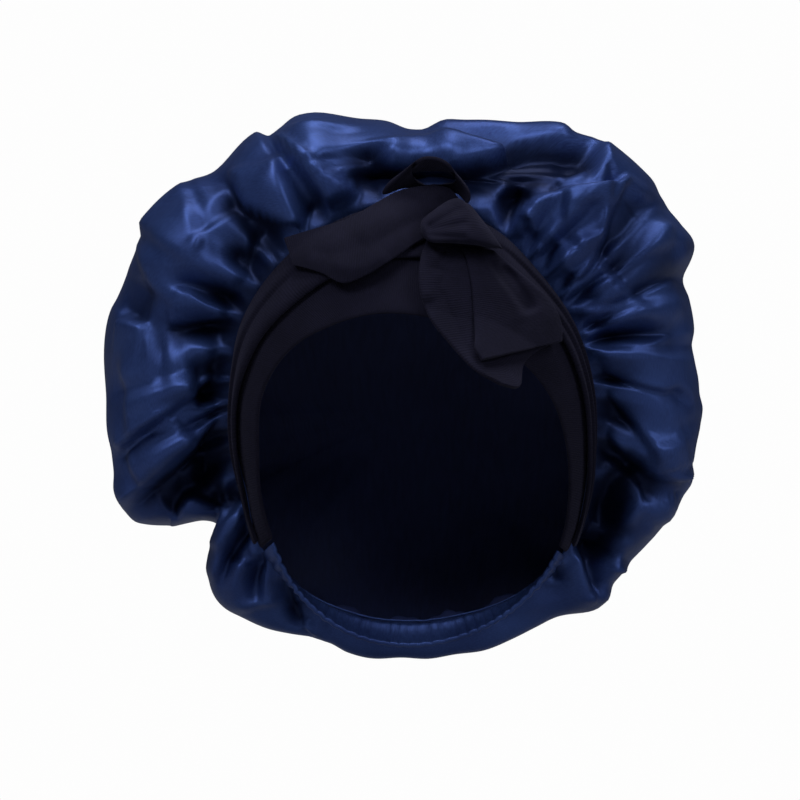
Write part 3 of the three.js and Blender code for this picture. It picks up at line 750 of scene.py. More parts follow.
def place_on_crown(foot, tip, way, lift):
    angle = angle_on_crown(foot, tip, way)
    flat, along = crown_curve(angle, way)
    along = unit(along)
    reach = flat[..., 0] + lift * along[..., 1]
    point = front_point(angle, reach, flat[..., 1] - lift * along[..., 0])
    drift = smooth((way - 1) / LOBES_FADE)[..., None]
    point = point + CROWN_BACK * [1, 0, 1] * drift
    return np.where((way >= 2)[..., None], CROWN_BACK, point)


print("the crown has", len(FOLDS), "folds and ends", CROWN_BACK[1], "mm behind the ears")

# %% [markdown]
# ### Laps and creases
#
# Between the seam and the outline the satin doesn't stay on that smooth form: it laps over
# itself, pleats and sinks into hollows. A sculptor would draw these with a crease brush,
# stroke by stroke. The table does the same, with a row for each stroke: a fold is a ridge,
# or a valley if its height is below zero, and a lap is a step, where the cloth on the left
# of the stroke lies over the cloth on its right, or the other way round below zero. The
# stroke's points are across and up, as seen from in front.

# %% The strokes
CREASES = [
    # kind, how wide it fades, height, points of the stroke
    # upper left: the flap that lies over both its neighbours
    ("lap", 20, 12, [(-73, 147), (-64, 137), (-57, 128), (-48, 118), (-43, 109), (-42, 102)]),
    ("lap", 20, -11, [(-72, 146), (-59, 139), (-47, 131), (-36, 124), (-27, 118), (-19, 110)]),
    ("lap", 22, -11, [(-46, 96), (-56, 98), (-70, 102), (-85, 109), (-92, 121), (-95, 129)]),
    ("fold", 3, 4, [(-81, 107), (-77, 98), (-70, 90), (-59, 78)]),
    ("fold", 3.5, 3.5, [(-77, 106), (-70, 98), (-66, 88), (-59, 79)]),
    ("fold", 9, -8, [(-101, 116), (-88, 108), (-80, 95), (-68, 82)]),
    # top
    ("fold", 9, -13, [(-18, 119), (0, 125), (14, 127), (30, 119)]),
    ("fold", 9, -12, [(-22, 142), (-20, 131), (-17, 116)]),
    ("fold", 12, 4, [(-51, 153), (-50, 141), (-46, 131)]),
    ("fold", 12, -3, [(-37, 151), (-36, 139), (-31, 129)]),
    ("fold", 14, 4, [(-9, 145), (-8, 135), (-7, 126)]),
    ("fold", 2.5, 2.5, [(4, 149), (4, 141), (4, 133)]),
    # left
    ("fold", 7, 5, [(-135, 94), (-130, 103), (-120, 114), (-102, 123)]),
    ("fold", 5, -4, [(-133, 88), (-128, 101), (-118, 111), (-105, 118)]),
    ("fold", 22, 6, [(-130, 88), (-121, 100), (-107, 105)]),
    ("fold", 8, 5, [(-107, 98), (-99, 90), (-90, 88), (-77, 89)]),
    ("fold", 6, -5, [(-109, 88), (-98, 82), (-83, 82)]),
    ("fold", 12, 6, [(-140, 78), (-130, 80), (-109, 75), (-88, 70), (-73, 67)]),
    ("fold", 6, -6, [(-127, 70), (-109, 70), (-95, 68), (-81, 64)]),
    ("lap", 9, -6, [(-121, 69), (-112, 66), (-103, 60), (-89, 56)]),
    ("fold", 9, -6, [(-147, 53), (-140, 62), (-134, 70)]),
    ("lap", 14, 7, [(-135, 50), (-152, 53)]),
    ("lap", 14, 9, [(-127, 49), (-114, 49), (-100, 51), (-82, 55)]),
    ("fold", 13, -8, [(-86, 51), (-102, 47), (-120, 39), (-135, 35)]),
    ("fold", 12, 6, [(-86, 52), (-103, 42), (-111, 31), (-130, 25)]),
    ("fold", 7, -7, [(-85, 39), (-90, 30), (-103, 21), (-114, 19)]),
    ("fold", 10, 5, [(-152, 23), (-130, 21), (-109, 20)]),
    ("fold", 7, -6, [(-157, 15), (-130, 18), (-102, 19)]),
    ("fold", 15, 6, [(-146, 5), (-127, 10), (-107, 17)]),
    # left, the two big laps
    ("lap", 18, 12, [(-151, -20), (-138, -8), (-124, 3), (-104, 19), (-89, 32)]),
    ("fold", 3, 3, [(-137, -11), (-124, -7), (-111, 1), (-90, 14)]),
    ("fold", 4, -4, [(-138, -8), (-127, -6), (-113, 3), (-93, 17)]),
    ("lap", 22, 18, [(-151, -49), (-136, -34), (-115, -19), (-105, -7), (-87, 14)]),
    ("fold", 16, 7, [(-143, -26), (-127, -18), (-112, -5)]),
    ("fold", 14, -6, [(-138, -45), (-120, -31), (-104, -17), (-92, 0)]),
    ("fold", 9, -8, [(-80, 40), (-91, 22), (-100, 5)]),
    # left, under the big lap
    ("fold", 5, 7, [(-111, -14), (-113, -29), (-116, -42), (-121, -53), (-127, -55)]),
    ("fold", 10, -5, [(-118, -29), (-124, -41), (-130, -47)]),
    ("fold", 9, -7, [(-105, -16), (-106, -30), (-109, -44)]),
    ("fold", 4.5, 7, [(-106, -7), (-100, -11), (-98, -18), (-99, -26), (-98, -34)]),
    ("lap", 12, -8, [(-104, -66), (-100, -57), (-98, -47), (-97, -29), (-96, -12), (-93, 0)]),
    ("lap", 16, 10, [(-102, -88), (-96, -71), (-93, -63), (-88, -55), (-83, -44)]),
    # lower left
    ("fold", 7, 6, [(-88, -73), (-88, -83), (-85, -103)]),
    ("fold", 6, -6, [(-81, -65), (-81, -81), (-80, -96)]),
    ("fold", 7, 7, [(-76, -62), (-74, -84), (-72, -100)]),
    ("fold", 7, -7, [(-69, -71), (-65, -92), (-56, -111)]),
    ("lap", 9, -7, [(-48, -118), (-55, -111), (-61, -98), (-66, -85), (-69, -73)]),
    ("fold", 8, -4, [(-58, -94), (-51, -105), (-42, -114)]),
    # top right: the roll and the deep hollow under it
    ("lap", 16, -16, [
        (91, 120), (96, 131), (94, 139), (87, 142),
        (61, 141), (42, 135), (24, 130), (9, 127),
    ]),
    ("fold", 8, 7, [(5, 146), (31, 146), (62, 147), (86, 145)]),
    ("fold", 14, -10, [(21, 122), (42, 128), (62, 134), (81, 134), (90, 127)]),
    ("fold", 4, 4, [(47, 130), (62, 130), (74, 127), (88, 119)]),
    ("fold", 4, -4, [(48, 127), (61, 125), (74, 123), (84, 120)]),
    ("fold", 5.5, 8, [(51, 127), (46, 116), (40, 108), (37, 100), (41, 94)]),
    ("fold", 6, -6, [(46, 127), (41, 115), (36, 103)]),
    ("fold", 7, -9, [(62, 116), (53, 111), (46, 104), (43, 95), (45, 84)]),
    # right, the puff with the turned edge
    ("lap", 16, -14, [
        (49, 80), (50, 95), (53, 105), (59, 111), (68, 115),
        (81, 118), (100, 119), (107, 121), (110, 126),
    ]),
    ("fold", 4, 5, [(50, 96), (53, 105), (57, 108), (61, 103), (66, 95)]),
    ("fold", 5, -5, [(56, 94), (57, 100), (58, 104)]),
    ("fold", 4, -5, [(66, 94), (59, 86), (54, 77)]),
    ("fold", 5, 5, [(68, 87), (62, 85), (56, 75)]),
    ("fold", 4, -5, [(75, 93), (68, 84), (61, 74)]),
    ("fold", 8, 7, [(83, 90), (76, 82), (69, 77), (63, 70)]),
    ("fold", 3, 4, [(83, 98), (88, 90), (88, 83), (83, 75), (71, 71)]),
    ("fold", 9, -5, [(93, 111), (93, 101), (95, 94)]),
    ("fold", 14, 5, [(76, 111), (88, 112), (102, 112)]),
    ("lap", 14, -13, [
        (111, 124), (107, 114), (103, 106), (100, 96), (94, 82), (87, 73), (76, 68),
    ]),
    ("fold", 3, 4, [(98, 85), (107, 89), (114, 97), (122, 105), (132, 113)]),
    ("fold", 12, -7, [(99, 74), (109, 84), (115, 107), (118, 117)]),
    ("fold", 7, 7, [(86, 64), (112, 76), (125, 90), (134, 104)]),
    ("lap", 9, 7, [(77, 60), (94, 65), (105, 72), (116, 81), (127, 88), (148, 92)]),
    ("fold", 14, -6, [(112, 62), (125, 75), (145, 82)]),
    ("lap", 10, -7, [(76, 55), (94, 57), (108, 59), (124, 68), (144, 76)]),
    # right, the dark pocket and the lit edge under it
    ("fold", 12, 6, [(81, 51), (109, 53), (146, 52)]),
    ("fold", 8, -12, [(85, 43), (105, 45), (125, 46), (145, 45)]),
    ("fold", 3, 5, [(112, 38), (124, 39), (131, 42), (147, 47)]),
    ("lap", 9, -8, [(84, 41), (96, 37), (112, 36), (131, 35), (148, 35)]),
    ("lap", 20, 8, [(87, 29), (103, 23), (118, 18), (131, 15), (138, 16), (149, 6)]),
    ("lap", 6, -3, [(119, -7), (137, -6), (152, 0)]),
    ("lap", 14, 8, [(97, 18), (105, 9), (112, 2), (119, -7), (125, -17), (127, -25)]),
    ("lap", 14, 10, [
        (94, 0), (103, -10), (112, -19), (121, -25), (133, -31), (144, -32), (151, -28),
    ]),
    ("fold", 14, 5, [(130, -10), (134, -20), (136, -26)]),
    # right, the pockets under the puff
    ("fold", 8, -8, [(105, -18), (120, -26), (125, -36), (128, -43)]),
    ("fold", 5, 8, [(96, -23), (105, -26), (115, -33), (121, -41), (116, -51), (112, -59)]),
    ("fold", 18, -13, [(97, -26), (104, -42), (101, -60), (97, -76)]),
    ("fold", 3, 4, [(123, -42), (126, -50), (126, -64)]),
    ("fold", 9, 5, [(132, -42), (134, -48), (130, -54)]),
    ("fold", 5, 5, [(115, -62), (112, -71), (110, -81)]),
    ("fold", 5, -5, [(103, -60), (104, -70), (108, -77)]),
    ("fold", 6, 6, [(105, -72), (105, -81), (99, -97)]),
    ("fold", 8, -7, [(96, -65), (97, -79), (100, -92)]),
    ("lap", 16, -9, [(89, -58), (91, -74), (94, -84), (100, -98)]),
    ("fold", 5, -8, [(80, -65), (78, -74), (74, -84)]),
    ("fold", 3, 4, [(73, -88), (74, -76), (76, -67)]),
    ("fold", 4, 4, [(83, -54), (86, -57), (89, -62)]),
]
STROKE_STEPS = 20
STROKE_REACH = 4  # times its width
STROKE_END = 0.16
FOLD_POWER = 1.7
LAP_STEP = 1.8
LAP_UNDER = 0.6
LAP_FADE = (1.0, 1.2)
FULL_WIDTH = 11.0
NARROW_POWER = 0.6


def stroke_lift(x, z, kind, wide, high, path):
    """How high one stroke lifts the points at x and z."""
    along = np.linspace(0, 1, len(path))
    line_x, line_z = [
        curve_through(along, column)(np.linspace(0, 1, STROKE_STEPS))
        for column in np.array(path, float).T
    ]
    step_x, step_z = np.diff(line_x), np.diff(line_z)
    from_x, from_z = x[:, None] - line_x[:-1], z[:, None] - line_z[:-1]
    t = (from_x * step_x + from_z * step_z) / (step_x**2 + step_z**2)
    t = np.clip(t, 0, 1)
    off_x, off_z = from_x - t * step_x, from_z - t * step_z
    nearest = np.hypot(off_x, off_z).argmin(axis=1)
    pick = (np.arange(len(x)), nearest)
    off_x, off_z = off_x[pick], off_z[pick]
    place = (nearest + t[pick]) / (STROKE_STEPS - 1)
    ends = smooth(place / STROKE_END) * smooth((1 - place) / STROKE_END)
    away = np.hypot(off_x, off_z)
    if kind == "fold":
        return high * ends * np.exp(-((away / wide) ** FOLD_POWER))
    left = np.sign(step_x[nearest] * off_z - step_z[nearest] * off_x) * np.sign(high)
    away = away * left
    over = 0.5 * np.exp(-np.maximum(away, 0) / wide)
    under = -0.5 * np.exp(np.minimum(away, 0) / (LAP_UNDER * wide))
    step = mix(under, over, smooth((away + LAP_STEP) / (2 * LAP_STEP)))
    return abs(high) * ends * step * (1 - smooth(np.abs(away) / wide / LAP_FADE[1] - LAP_FADE[0]))


def crease_lift(strokes, x, z, full_width):
    """How high all the strokes lift the points at x and z. Narrow ones are shallower."""
    lift = np.zeros_like(x)
    for kind, wide, high, path in strokes:
        low = np.min(path, axis=0) - STROKE_REACH * wide
        far = np.max(path, axis=0) + STROKE_REACH * wide
        near = (x > low[0]) & (x < far[0]) & (z > low[1]) & (z < far[1])
        high = high * min(1, wide / full_width) ** NARROW_POWER
        lift[near] += stroke_lift(x[near], z[near], kind, wide, high, path)
    return lift


print("strokes:", len(CREASES))

# %% [markdown]
# ### The crown's cloth
#
# A maker cuts a disc, gathers its edge and sews it to the rim. The grid does the same: it
# runs once round the disc and from its edge to its middle. Big folds come from the table,
# fine gathers stand at the seam and die away, and a soft gutter sinks beside the seam where
# the full cloth curls over it. The strokes come last, in front only.
#
# The same sums give how deep each point lies, which darkens the satin's colour as painted shade.

# %% The crown's folds
COLUMNS_PER_FOLD = 7
CROWN_ROWS = 94
CROWN_CUT_REACH = 0.28
FRONT_SHARE = 0.76
FOLD_LIFT = 0.85
FOLD_ROUND = 0.75
SATIN_WALL = 1.0
# How deep in millimetres a point must lie for full painted shade, and where the painted shade
# fades out behind.
SHADE_FULL_DEPTH = 11.0
SHADE_FADES = (0.8, 0.2)  # from this way on, over this way
FOLDS_SHOW = (0.1, 0.15, 0.5)  # in full by the first way, wane from the second, over the third
STROKES_SHOW = (0.04, 0.12, 0.78, 0.35)  # come in from a way, over a way, and fade likewise
GATHERS = {"count": 84, "wander": 2.2, "wanders": 9, "height": 1.5, "starts": 0.05, "dies": 0.14}
GUTTER = np.array([
    # angle, depth of the gutter beside the seam, which also gets painted shade
    [-150, 1], [-125, 3], [-105, 8], [-80, 9], [-60, 9], [-45, 9], [-30, 6], [-10, 6],
    [20, 5], [35, 2], [50, 2], [65, 2], [75, 6], [90, 10], [110, 10], [130, 5], [160, 2],
])
GUTTER_START = 0.1
GUTTER_FADES = 0.35
gutter_depth = curve_through(GUTTER[:, 0], GUTTER[:, 1], turn=360)


def fold_place(u):
    """Which fold a point of the cut belongs to, and how far it is on to the next one."""
    place = u * len(FOLDS)
    i = np.minimum(np.floor(place).astype(int), len(FOLDS) - 1)
    return i, place - i


def fold_lift(u):
    i, t = fold_place(u)
    here, there = lifts[i], lifts[i + 1]
    low, high = np.minimum(here, there), np.maximum(here, there)
    climb = np.where(there > here, t, 1 - t)
    rounded = (0.5 - 0.5 * np.cos(np.pi * climb)) ** FOLD_ROUND
    return low + (high - low) * rounded


def dent_depth(angle, way):
    depth = 0
    for middle, at, half_angle, half_way, deep in DENTS:
        turn = (angle - middle + 540) % 360 - 180
        depth = depth + deep * (1 - smooth(np.hypot(turn / half_angle, (way - at) / half_way)))
    return depth


def crown_cut(u, v):
    """The disc that the crown is cut from: the seam is its edge, and the back its middle."""
    angle = u * math.tau
    reach = CROWN_CUT_REACH * (1 - v)
    return np.stack([reach * np.sin(angle), reach * np.cos(angle)], -1)


def crown_lift(u, v):
    """Where on the crown a point of the cut lies, and how far off the smooth form it is."""
    way = np.where(v < FRONT_SHARE, v / FRONT_SHARE, 1 + (v - FRONT_SHARE) / (1 - FRONT_SHARE))
    i, t = fold_place(u)
    foot = mix(feet[i], feet[i + 1], t)
    tip = mix(tips[i], tips[i + 1], t)
    angle = angle_on_crown(foot, tip, way)
    full, wane, over = FOLDS_SHOW
    share = smooth(way / full) * (1 - smooth((way - wane) / over))
    lift = FOLD_LIFT * fold_lift(u) * share - dent_depth(angle, way)
    gutter = smooth(way / GUTTER_START) * (1 - smooth((way - GUTTER_START) / GUTTER_FADES))
    lift = lift - gutter_depth(foot) * gutter
    wander = GATHERS["wander"] * np.sin(np.radians(foot) * GATHERS["wanders"])
    fine = GATHERS["height"] * np.sin(np.radians(foot) * GATHERS["count"] + wander)
    lift = lift + fine * smooth(way / GATHERS["starts"]) * np.exp(-way / GATHERS["dies"])
    plain = place_on_crown(foot, tip, way, lift)
    start, rising, fade, falling = STROKES_SHOW
    held = smooth((way - start) / rising) * (1 - smooth((way - fade) / falling))
    return foot, tip, way, lift + held * crease_lift(
        CREASES, plain[:, 0], plain[:, 2], FULL_WIDTH
    )


def crown_lay(u, v):
    return place_on_crown(*crown_lift(u, v))


def crown_shade_paint(u, v):
    """Painted shade: darker with the depth in a fold, and dark in the gutter beside the seam right
    up to the seam, where the satin is held.
    """
    foot, _, way, lift = crown_lift(u, v)
    seam_shade = gutter_depth(foot) * (1 - smooth(way / GUTTER_START))
    in_front = 1 - smooth((way - SHADE_FADES[0]) / SHADE_FADES[1])
    return smooth((seam_shade - lift) / SHADE_FULL_DEPTH) * in_front


crown = cloth(
    "satin_crown_cloth", len(FOLDS) * COLUMNS_PER_FOLD, CROWN_ROWS, crown_lay, crown_cut,
    SATIN_WALL, [satin, wrong_side], relax=1, rounded=0, painted_shade=crown_shade_paint,
)
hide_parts("satin_crown")
print("crown:", len(crown.data.vertices), "points, cut", round(200 * CROWN_CUT_REACH), "cm wide")

# %% [markdown]
# ## The head band and the nape casing
#
# The band is a straight strip of jersey. It stretches over the brow and the ears, so it lies
# smooth, and it is widest in the middle of the front. Behind the neck the rim is a narrow
# tube of satin with elastic drawn through it. The elastic is shorter than the satin, so the
# tube stands in many small pleats, each about as high as the cloth is thick.

# %% Band and casing
BAND_CUT = (0.37, 0.056)
CASING_CUT = (0.25, 0.016)
CASING_WALL = 2.6
CASING_GAP = 1  # degrees to the band at each end
CASING_PLEATS = 34
PLEAT_HEIGHT = 0.5
PLEATS_WANDER = (1.5, 23)  # how far, and how quickly
PLEATS_VARY = (0.3, 61)
PLEATS_START = 0.04


def band_lay(u, v):
    angle = mix(BAND_ENDS[0], BAND_ENDS[1], u)
    return rim_point(angle, v, JERSEY_WALL / 2)


band = cloth("head_band_cloth", 120, 16, band_lay, strip(*BAND_CUT), JERSEY_WALL, [jersey])
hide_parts("head_band")


def casing_lay(u, v):
    angle = mix(BAND_ENDS[1] + CASING_GAP, BAND_ENDS[0] + 360 - CASING_GAP, u)
    wander = PLEATS_WANDER[0] * np.sin(u * PLEATS_WANDER[1])
    vary = 1 - PLEATS_VARY[0] + PLEATS_VARY[0] * np.sin(u * PLEATS_VARY[1])
    ends = smooth(u / PLEATS_START) * smooth((1 - u) / PLEATS_START)
    pleat = np.cos(u * CASING_PLEATS * math.tau + wander) * vary * ends
    return rim_point(angle, v, CASING_WALL / 2 + PLEAT_HEIGHT * pleat)


casing = cloth(
    "nape_casing_cloth", 8 * CASING_PLEATS, 8, casing_lay, strip(*CASING_CUT), CASING_WALL, [satin]
)
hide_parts("nape_casing")
print("band and casing:", len(band.data.vertices), "and", len(casing.data.vertices), "points")

# %% [markdown]
# ## The ties
#
# Each tie is a long jersey strap. It comes up from behind the ear, lies in folds over the
# band, passes through the knot and ends in a loose tail. All its pieces lie on the band, and
# past the band's seam they lie on the swell of the satin, so one helper finds the point that
# is seen from in front at an across and an up, at a height over what is under it.

# %% What the ties lie on
SATIN_SWELL = (9.0, 14.0)  # how high the satin stands past the seam, and how soon
LAY_ROUNDS = 8


def lay_over(x, z, height):
    """The point seen from in front at x and z, at a height over the ribbon or the satin."""
    angle = np.degrees(np.arctan2(x, z))
    reach = np.hypot(x, z)
    width = seam_reach(angle) - face_reach(angle)
    over = height + SATIN_SWELL[0] * smooth((reach - seam_reach(angle)) / SATIN_SWELL[1])
    across = (reach - face_reach(angle)) / width
    for _ in range(LAY_ROUNDS):
        point = rim_point(angle, across, over)
        across = across - (np.hypot(point[..., 0], point[..., 2]) - reach) / width
    y = rim_point(angle, across, over)[..., 1]
    return np.stack(np.broadcast_arrays(x, y, z), -1)


def columns_of(rows):
    """Each column of a table as a smooth function of the way along it, from 0 to 1."""
    places = np.linspace(0, 1, len(rows))
    return [curve_through(places, column) for column in np.array(rows, float).T]


print("a point over the seam:", lay_over(np.array([0.0]), np.array([110.0]), 0.0).round(1))

# %% [markdown]
# ### The straps on the band
#
# Left and right of the knot a strap lies along the band. It is wider than the band leaves
# room for, so it lies in flat lengthwise folds. Each fold stands up at its lower edge and
# falls away to the next one, and near the strap's ends the pull of the knot flattens them.

# %% The straps laid on the band
STRAP_LEFT_CUT = (0.2, 0.042)
STRAP_RIGHT_CUT = (0.165, 0.042)
WRAP_LEFT = [
    # angle, low, high
    [-129, 0.5, 0.9],
    [-115, 0.46, 0.95],
    [-84, 0.41, 0.96],
    [-69, 0.35, 0.96],
    [-52, 0.34, 0.96],
    [-27, 0.37, 0.96],
    [0, 0.4, 0.95],
    [6, 0.42, 0.93],
]
WRAP_RIGHT = [
    # angle, low, high
    [9, 0.43, 0.93],
    [30, 0.48, 0.95],
    [60, 0.52, 0.96],
    [92, 0.42, 0.96],
    [111, 0.4, 0.94],
    [128, 0.4, 0.88],
]
FOLD_HEIGHT = 1.8
FOLD_RISES = 0.12
FOLD_FALLS = (0.85, 0.2, 0.8)  # by how much, from where, over what share of the fold
PINCHED = 0.25


def wrap_lay(rows, folds):
    angle_at, low_at, high_at = columns_of(rows)

    def lay(u, v):
        t = v * folds - np.floor(np.minimum(v * folds, folds - 1e-6))
        fall, start, over = FOLD_FALLS
        lift = smooth(t / FOLD_RISES) * (1 - fall * smooth((t - start) / over))
        pinch = smooth(u / PINCHED) * smooth((1 - u) / PINCHED)
        height = JERSEY_WALL / 2 + LAID_GAP + JERSEY_WALL + FOLD_HEIGHT * lift * pinch
        return rim_point(angle_at(u), mix(low_at(u), high_at(u), v), height)

    return lay


wrap_left = cloth(
    "wrap_left_cloth", 90, 24, wrap_lay(WRAP_LEFT, 2), strip(*STRAP_LEFT_CUT), JERSEY_WALL,
    [jersey],
)
wrap_right = cloth(
    "wrap_right_cloth", 80, 30, wrap_lay(WRAP_RIGHT, 3), strip(*STRAP_RIGHT_CUT), JERSEY_WALL,
    [jersey],
)
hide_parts("wrap_left")
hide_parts("wrap_right")
print("straps:", len(wrap_left.data.vertices), "and", len(wrap_right.data.vertices), "points")

# %% [markdown]
# ### The left tail
#
# The left tail comes out of the knot and lies across the strap, puffed a little in its
# middle, with soft creases that run out from the pinch. The table gives both its edges, and
# a few strokes like the crown's draw the creases.

# %% The left tail
TAIL_LEFT_CUT = (0.095, 0.04)
TAIL_LEFT = [
    # top x, top z, top height, low x, low z, low height, belly
    [25, 112, 7.5, 13, 95, 7.5, 0.3],
    [20, 117, 8, 8, 92, 7.5, 0.8],
    [12, 119, 8, 3, 89, 7.5, 2],
    [1, 118, 8, -4, 84, 8, 3.6],
    [-8, 115.5, 8, -12, 78.5, 8.8, 4.5],
    [-19, 109.5, 8.5, -22, 72.5, 9, 4.5],
    [-31, 102.6, 8.5, -34, 68.6, 9, 4.5],
    [-43, 99, 8.5, -44, 73.6, 9, 4],
    [-54, 95.8, 8.5, -52.5, 76.5, 9.5, 3],
    [-64.5, 92.6, 8.5, -59.3, 78.5, 9.5, 1.5],
]
TAIL_LEFT_CREASES = [
    # kind, how wide it fades, height, points of the stroke
    ("fold", 4, -1.6, [(23, 110), (10, 103), (-8, 95), (-24, 84)]),
    ("fold", 6, 1.8, [(20, 115), (4, 110), (-14, 102), (-32, 92)]),
    ("fold", 5, 1.5, [(-10, 84), (-26, 76), (-42, 80)]),
    ("fold", 5, -1.5, [(-20, 90), (-36, 84), (-52, 86)]),
]
TAIL_FULL_WIDTH = 1.0


def tail_left_lay(u, v):
    top_x, top_z, top_h, low_x, low_z, low_h, belly = [c(u) for c in columns_of(TAIL_LEFT)]
    x, z = mix(low_x, top_x, v), mix(low_z, top_z, v)
    height = mix(low_h, top_h, v) + belly * np.sin(np.pi * v)
    return lay_over(x, z, height + crease_lift(TAIL_LEFT_CREASES, x, z, TAIL_FULL_WIDTH))


tail_left = cloth(
    "tail_left_cloth", 70, 30, tail_left_lay, strip(*TAIL_LEFT_CUT), JERSEY_WALL, [jersey],
    flip=True,
)
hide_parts("tail_left")
print("left tail:", len(tail_left.data.vertices), "points")

# %% [markdown]
# ### The right tail
#
# The right tail hangs down over the band and is folded lengthwise once, so it has an under
# layer, a round fold at its right and a flap that comes back over the under layer. It is one
# sheet: the grid's way across runs over the under layer, round the fold and back.

# %% The right tail
TAIL_RIGHT_CUT = (0.08, 0.1)
FOLD_AT = 0.55
ROUND_FROM = 0.9
TAIL_RIGHT = [
    # under x, under z, under height, fold x, fold z, fold height, flap x, flap z, flap height
    [8, 90, 6, 42, 86, 9.2, 26, 87, 10.6],
    [5, 80, 7.2, 53, 77, 11.1, 28.5, 78, 12.4],
    [4.5, 67, 7.2, 64, 68, 11.8, 30.5, 67.5, 13.4],
    [8.5, 52, 6.2, 71, 61.5, 10.7, 31.5, 54.5, 13],
    [18, 39, 5, 75.5, 54.5, 11, 32, 44, 13],
    [31, 25, 5, 77.5, 47.5, 11, 32.5, 36.5, 13],
    [44, 17.5, 5, 77.5, 40, 11, 36, 30.7, 12.5],
]
TAIL_CUT = [
    # x, z
    [0, 0],
    [1, -7],
    [-5, -1],
    [-4, 2],
    [0, 0],
]
FLAP_CREASES = [
    # kind, how wide it fades, height, points of the stroke
    ("lap", 6, -3.5, [(37, 83), (47, 68), (60, 51)]),
    ("fold", 5, -3, [(46, 80), (56, 66), (61, 53)]),
    ("fold", 3.5, -2, [(24, 86), (28, 70), (30, 56), (31.5, 36)]),
    ("fold", 2.5, 1, [(52, 74), (64, 60), (72, 48)]),
]
UNDER_CREASES = [
    # kind, how wide it fades, height, points of the stroke
    ("fold", 2.5, -1.6, [(13, 68), (19, 54), (24, 43), (30, 29)]),
    ("fold", 5, 2.5, [(8, 86), (6, 72), (8, 58)]),
    ("fold", 4, -3, [(17, 86), (13, 72)]),
    ("lap", 3, -2.5, [(22, 86), (14, 71), (13, 67)]),
]
FOLD_OPENS = 3.0
CUT_SHARP = 4  # the power of the way along that the end's cut shows with
CREASES_FADE = (0.7, 0.25)  # towards the fold, from this share on, over this share


def tail_right_lay(u, v):
    under_x, under_z, under_h, fold_x, fold_z, fold_h, flap_x, flap_z, flap_h = [
        c(u) for c in columns_of(TAIL_RIGHT)
    ]
    under = v < FOLD_AT
    share = np.where(under, v / FOLD_AT, (1 - v) / (1 - FOLD_AT))
    near = ((share - ROUND_FROM) / (1 - ROUND_FROM)).clip(0, 1)
    near = np.sqrt(1 - near**2)
    cut_x, cut_z = [c(share) * u**CUT_SHARP * under for c in columns_of(TAIL_CUT)]
    x = np.where(under, mix(under_x, fold_x, share), mix(flap_x, fold_x, share)) + cut_x
    z = np.where(under, mix(under_z, fold_z, share), mix(flap_z, fold_z, share)) + cut_z
    low = mix(under_h, fold_h - FOLD_OPENS, (share / ROUND_FROM).clip(0, 1))
    high = mix(flap_h, fold_h + FOLD_OPENS, (share / ROUND_FROM).clip(0, 1))
    away = 1 - smooth((share - CREASES_FADE[0]) / CREASES_FADE[1])
    low = low + away * crease_lift(UNDER_CREASES, x, z, TAIL_FULL_WIDTH)
    high = high + away * crease_lift(FLAP_CREASES, x, z, TAIL_FULL_WIDTH)
    low = fold_h + (low - fold_h) * near
    high = fold_h + (high - fold_h) * near
    return lay_over(x, z, np.where(under, low, high))


tail_right = cloth(
    "tail_right_cloth", 70, 70, tail_right_lay, strip(*TAIL_RIGHT_CUT), JERSEY_WALL, [jersey],
    flip=True,
)
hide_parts("tail_right")
print("right tail:", len(tail_right.data.vertices), "points")

# %% [markdown]
# ### The loop
#
# Above the knot the strap stands up in a short loop, open to the front. It is a ring of
# cloth between a front edge and a back edge. The back edge lies lower at the top, so that
# one looks into the hollow, and further left, so that the strap's outside shows there.

# %% The loop
LOOP_CUT = (0.09, 0.0145)
LOOP = [
    # front x, front y, front z, back x, back y, back z
    [11.5, -46.1, 119.4, 10.4, -45.7, 115.9],
    [5.8, -45.8, 119.4, -3, -45.1, 117.4],
    [2.1, -49.2, 122.2, -12.9, -45.6, 113.9],
    [1, -58, 125.5, -14.2, -46.5, 116.2],
    [2, -64, 129.8, -9.5, -48, 121.8],
    [7, -66, 132.8, -1, -48, 126.2],
    [14, -66, 132.4, 9, -47.5, 127.6],
    [19.5, -64.5, 129.3, 20, -47.5, 126.8],
    [22, -61, 124.8, 28, -49, 119.5],
    [22.2, -54.9, 121.3, 30.8, -49, 113],
    [21.3, -49.1, 119.8, 28.4, -48.9, 109.6],
    [17.1, -46.4, 119.4, 23.7, -46.3, 114.4],
]


def loop_lay(u, v):
    places = np.linspace(0, 1, len(LOOP), endpoint=False)
    table = np.array(LOOP, float)
    edge = [curve_through(places, table[:, i], turn=1)(u) for i in range(6)]
    front, back = np.stack(edge[:3], -1), np.stack(edge[3:], -1)
    return mix(front, back, v[:, None])


loop = cloth("loop_cloth", 72, 14, loop_lay, strip(*LOOP_CUT), JERSEY_WALL, [jersey])
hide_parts("loop")
print("loop:", len(loop.data.vertices), "points")
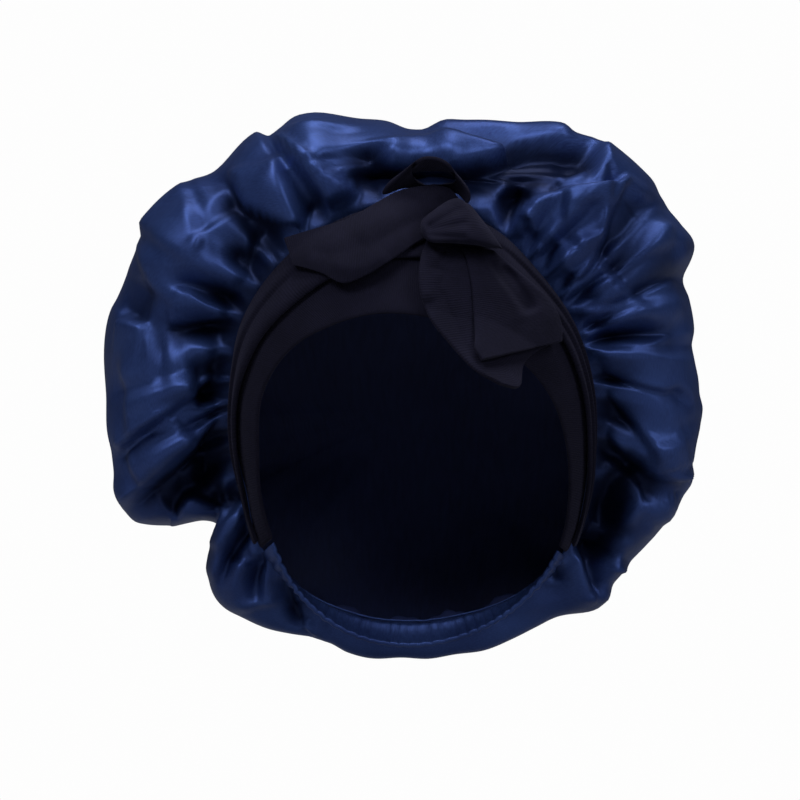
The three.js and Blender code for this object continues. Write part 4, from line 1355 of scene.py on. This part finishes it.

# %% [markdown]
# ### The knot
#
# The knot is the strap wrapped once round the others and drawn tight. Only its outside can
# be seen, a soft pad that fans out from the pinch at its left, so it is closed and rounded,
# with shallow creases that spread like a fan.

# %% The knot
KNOT = [
    # x, z, height, half width, half thickness, lean
    [5, 93, 13.6, 0, 0, 70],
    [8, 94.5, 15.1, 6, 4, 66],
    [16, 97, 17.6, 9.5, 6, 62],
    [25, 99, 19.5, 13, 7.5, 60],
    [32, 99, 20, 15, 7.5, 57],
    [36, 98, 19.5, 14.5, 6, 54],
    [38.5, 97, 19, 12.5, 3.5, 54],
    [39.5, 96.5, 18.8, 0, 0, 54],
]
KNOT_ROUND = 0.8  # below 1 its sections are squarer than an ellipse
KNOT_CUT = (0.08, 0.04)
TIP = 1e-6
KNOT_CREASES = [
    # kind, how wide it fades, height, points of the stroke
    ("fold", 2.2, -1.6, [(7, 96), (16, 101), (27, 107)]),
    ("fold", 2.2, -1.6, [(7, 95), (18, 97), (31, 99)]),
    ("fold", 1.8, -1.3, [(7, 93), (18, 92), (30, 91)]),
    ("lap", 2.5, 1.4, [(12, 88), (24, 90), (36, 88), (44, 86)]),
]


def knot_lay(u, v):
    x, z, height, half, thick, lean = [c(v) for c in columns_of(KNOT)]
    ends = (v > TIP) & (v < 1 - TIP)
    half, thick = half.clip(0) * ends, thick.clip(0) * ends
    turn = u * 2 * np.pi
    wide = np.sign(np.cos(turn)) * np.abs(np.cos(turn)) ** KNOT_ROUND
    tall = np.sign(np.sin(turn)) * np.abs(np.sin(turn)) ** KNOT_ROUND
    a = np.radians(lean)
    x, z = x + np.cos(a) * half * wide, z - np.sin(a) * half * wide
    crease = crease_lift(KNOT_CREASES, x, z, TAIL_FULL_WIDTH) * smooth(tall / 0.5) * ends
    return lay_over(x, z, height + thick * tall + crease)


knot = cloth("knot_cloth", 96, 56, knot_lay, strip(*KNOT_CUT), 0, [jersey])
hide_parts("knot")
print("knot:", len(knot.data.vertices), "points")
